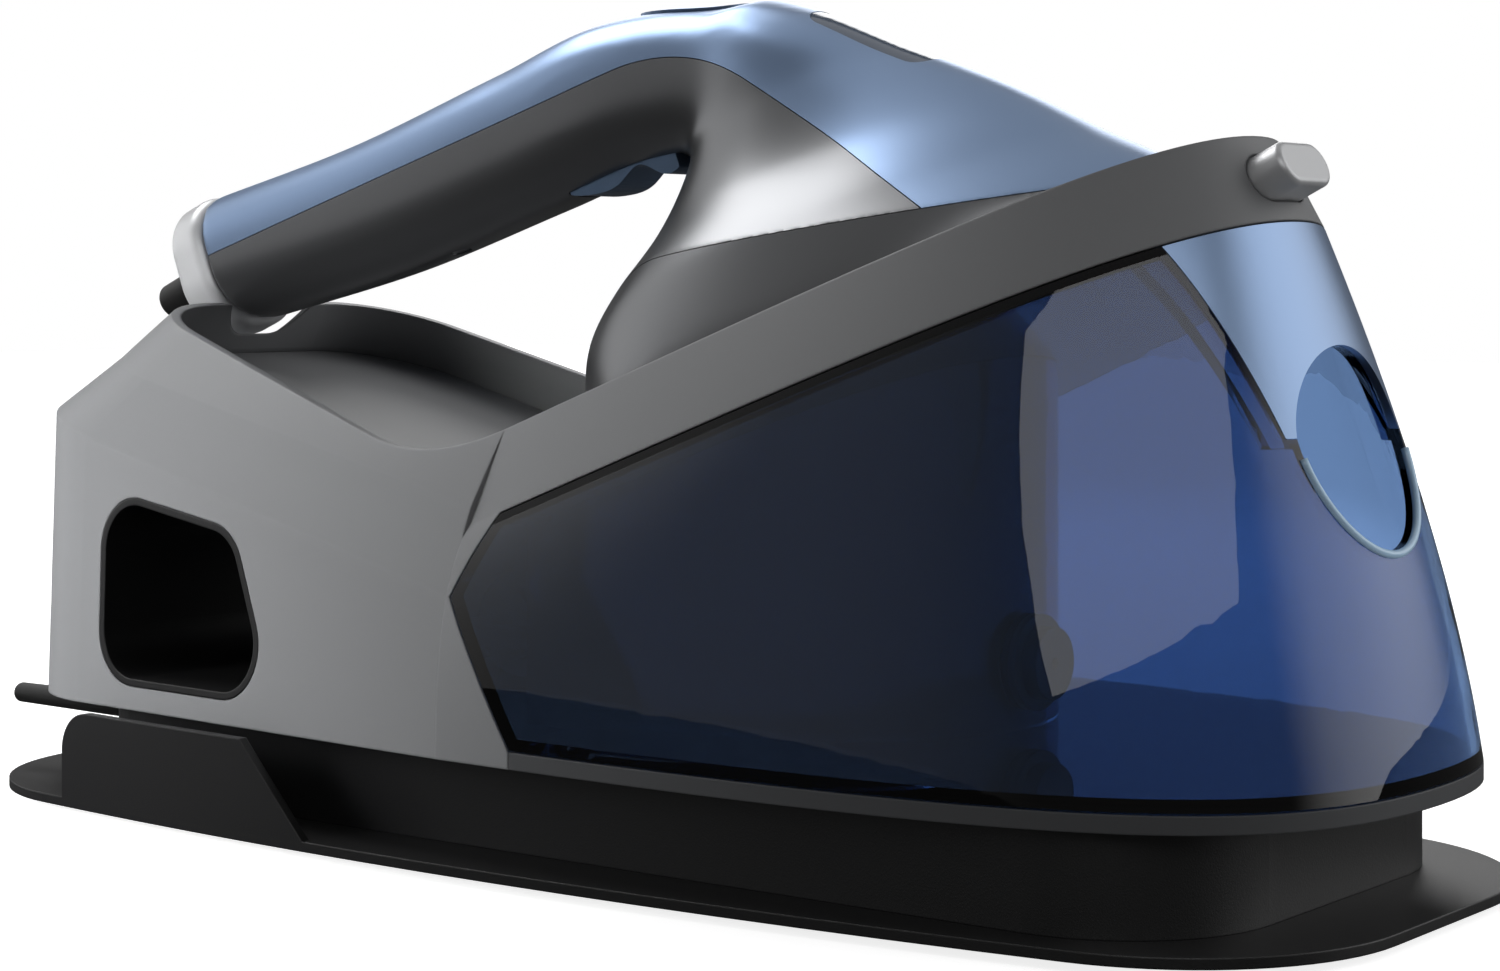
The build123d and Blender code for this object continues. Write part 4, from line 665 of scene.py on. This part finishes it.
# Room: dim, with light that grows smoothly towards three directions, from a share of facing to straight on
roomDim = 0.03
roomLobes = (
    {"towards": (-0.80, -0.56, 0.22), "start": 0.5, "strength": 0.3},
    {"towards": (0.68, 0.63, 0.37), "start": 0.7, "strength": 1.9},
    {"towards": (-0.96, -0.22, 0.18), "start": 0.8, "strength": 1.0},
)
world = bpy.data.worlds.new("studio")
world.use_nodes = True
tree = world.node_tree
tree.nodes.clear()
path, seen = seenDirectly(tree)
place = addNode(tree, "ShaderNodeTexCoord")
ambient = None
for lobe in roomLobes:
    facing = addNode(
        tree,
        "ShaderNodeVectorMath",
        (("operation", "DOT_PRODUCT"), (1, lobe["towards"])),
        ((place, "Generated", 0),),
    )
    glow = addNode(tree, "ShaderNodeMapRange", (
        ("interpolation_type", "SMOOTHSTEP"),
        ("From Min", lobe["start"]),
        ("From Max", 1.0),
        ("To Min", roomDim),
        ("To Max", lobe["strength"]),
    ), ((facing, "Value", "Value"),))
    ambient = addNode(
        tree,
        "ShaderNodeMath",
        (("operation", "ADD"), (0, 0.0)),
        ((ambient, "Value", 0), (glow, "Result", 1)) if ambient else ((glow, "Result", 1),),
    )
soft = addNode(
    tree, "ShaderNodeBackground", (("Color", hexColour("#ffffff")),), ((ambient, "Value", "Strength"),)
)
white = addNode(tree, "ShaderNodeBackground", (("Color", hexColour("#ffffff")), ("Strength", 1.0)))
mixed = addNode(
    tree, "ShaderNodeMixShader", (), ((seen, "Value", 0), (soft, "Background", 1), (white, "Background", 2))
)
addNode(tree, "ShaderNodeOutputWorld", (), ((mixed, "Shader", "Surface"),))
bpy.context.scene.world = world

# Softboxes, in metres and watts: side turns a box about its axis, and spread in degrees narrows its beam
softboxes = {
    "topBox": {"place": (-0.1, 0.15, 1.3), "target": (0, 0, 0.1), "size": (1.6, 1.2), "power": 3.4},
    "backBox": {"place": (-0.5, 0.9, 0.7), "target": (0, 0, 0.1), "size": (0.8, 0.6), "power": 4.0},
    # the streaks on the iron
    "sideBox": {
        "place": (-0.66, 0.04, 0.95), "target": (0, 0, 0.15), "size": (0.7, 0.5), "power": 7.0,
        "diffuse": False
    },
    # the pane of light that the tank mirrors
    "frontBox": {
        "place": (1.014, -0.664, 0.767), "target": (1.007, 0.077, 0.108), "size": (1.85, 0.6), "power": 7.0,
        "side": (0.913, 0.276, 0.30), "diffuse": False
    },
    # the light on the rear housing, which falls off along the hoop
    "leftBox": {
        "place": (-0.35, -0.45, 0.2), "target": (-0.19, -0.08, 0.08), "size": (0.25, 0.25), "power": 0.36,
        "spread": 50, "glossy": False
    },
}
for name, box in softboxes.items():
    light = bpy.data.lights.new(name, "AREA")
    light.shape = "RECTANGLE"
    light.size, light.size_y = box["size"]
    light.energy = box["power"]
    light.spread = math.radians(box.get("spread", 180))
    lamp = bpy.data.objects.new(name, light)
    bpy.context.scene.collection.objects.link(lamp)
    back = (Vector(box["place"]) - Vector(box["target"])).normalized()
    across = Vector(box["side"]) if "side" in box else Vector((0, 0, 1)).cross(back)
    across = (across - back * across.dot(back)).normalized()
    turned = Matrix((across, back.cross(across), back)).transposed().to_4x4()
    lamp.matrix_world = Matrix.Translation(box["place"]) @ turned
    lamp.visible_camera = False
    lamp.visible_transmission = False
    lamp.visible_diffuse = box.get("diffuse", True)
    lamp.visible_glossy = box.get("glossy", True)

# Camera: level, at the photograph's place, in metres
view = {"place": (0.50527, -0.63529, 0.15038), "towards": (-0.610, 0.792, 0), "lens": 72.0, "shift": -0.1423}
lens = bpy.data.cameras.new("camera")
lens.sensor_width = 36.0
lens.lens = view["lens"]
lens.shift_y = view["shift"]
camera = bpy.data.objects.new("camera", lens)
bpy.context.scene.collection.objects.link(camera)
camera.location = view["place"]
camera.rotation_euler = Vector(view["towards"]).to_track_quat("-Z", "Y").to_euler()
bpy.context.scene.camera = camera
bpy.context.scene.view_settings.view_transform = "Standard"
print("stage made")
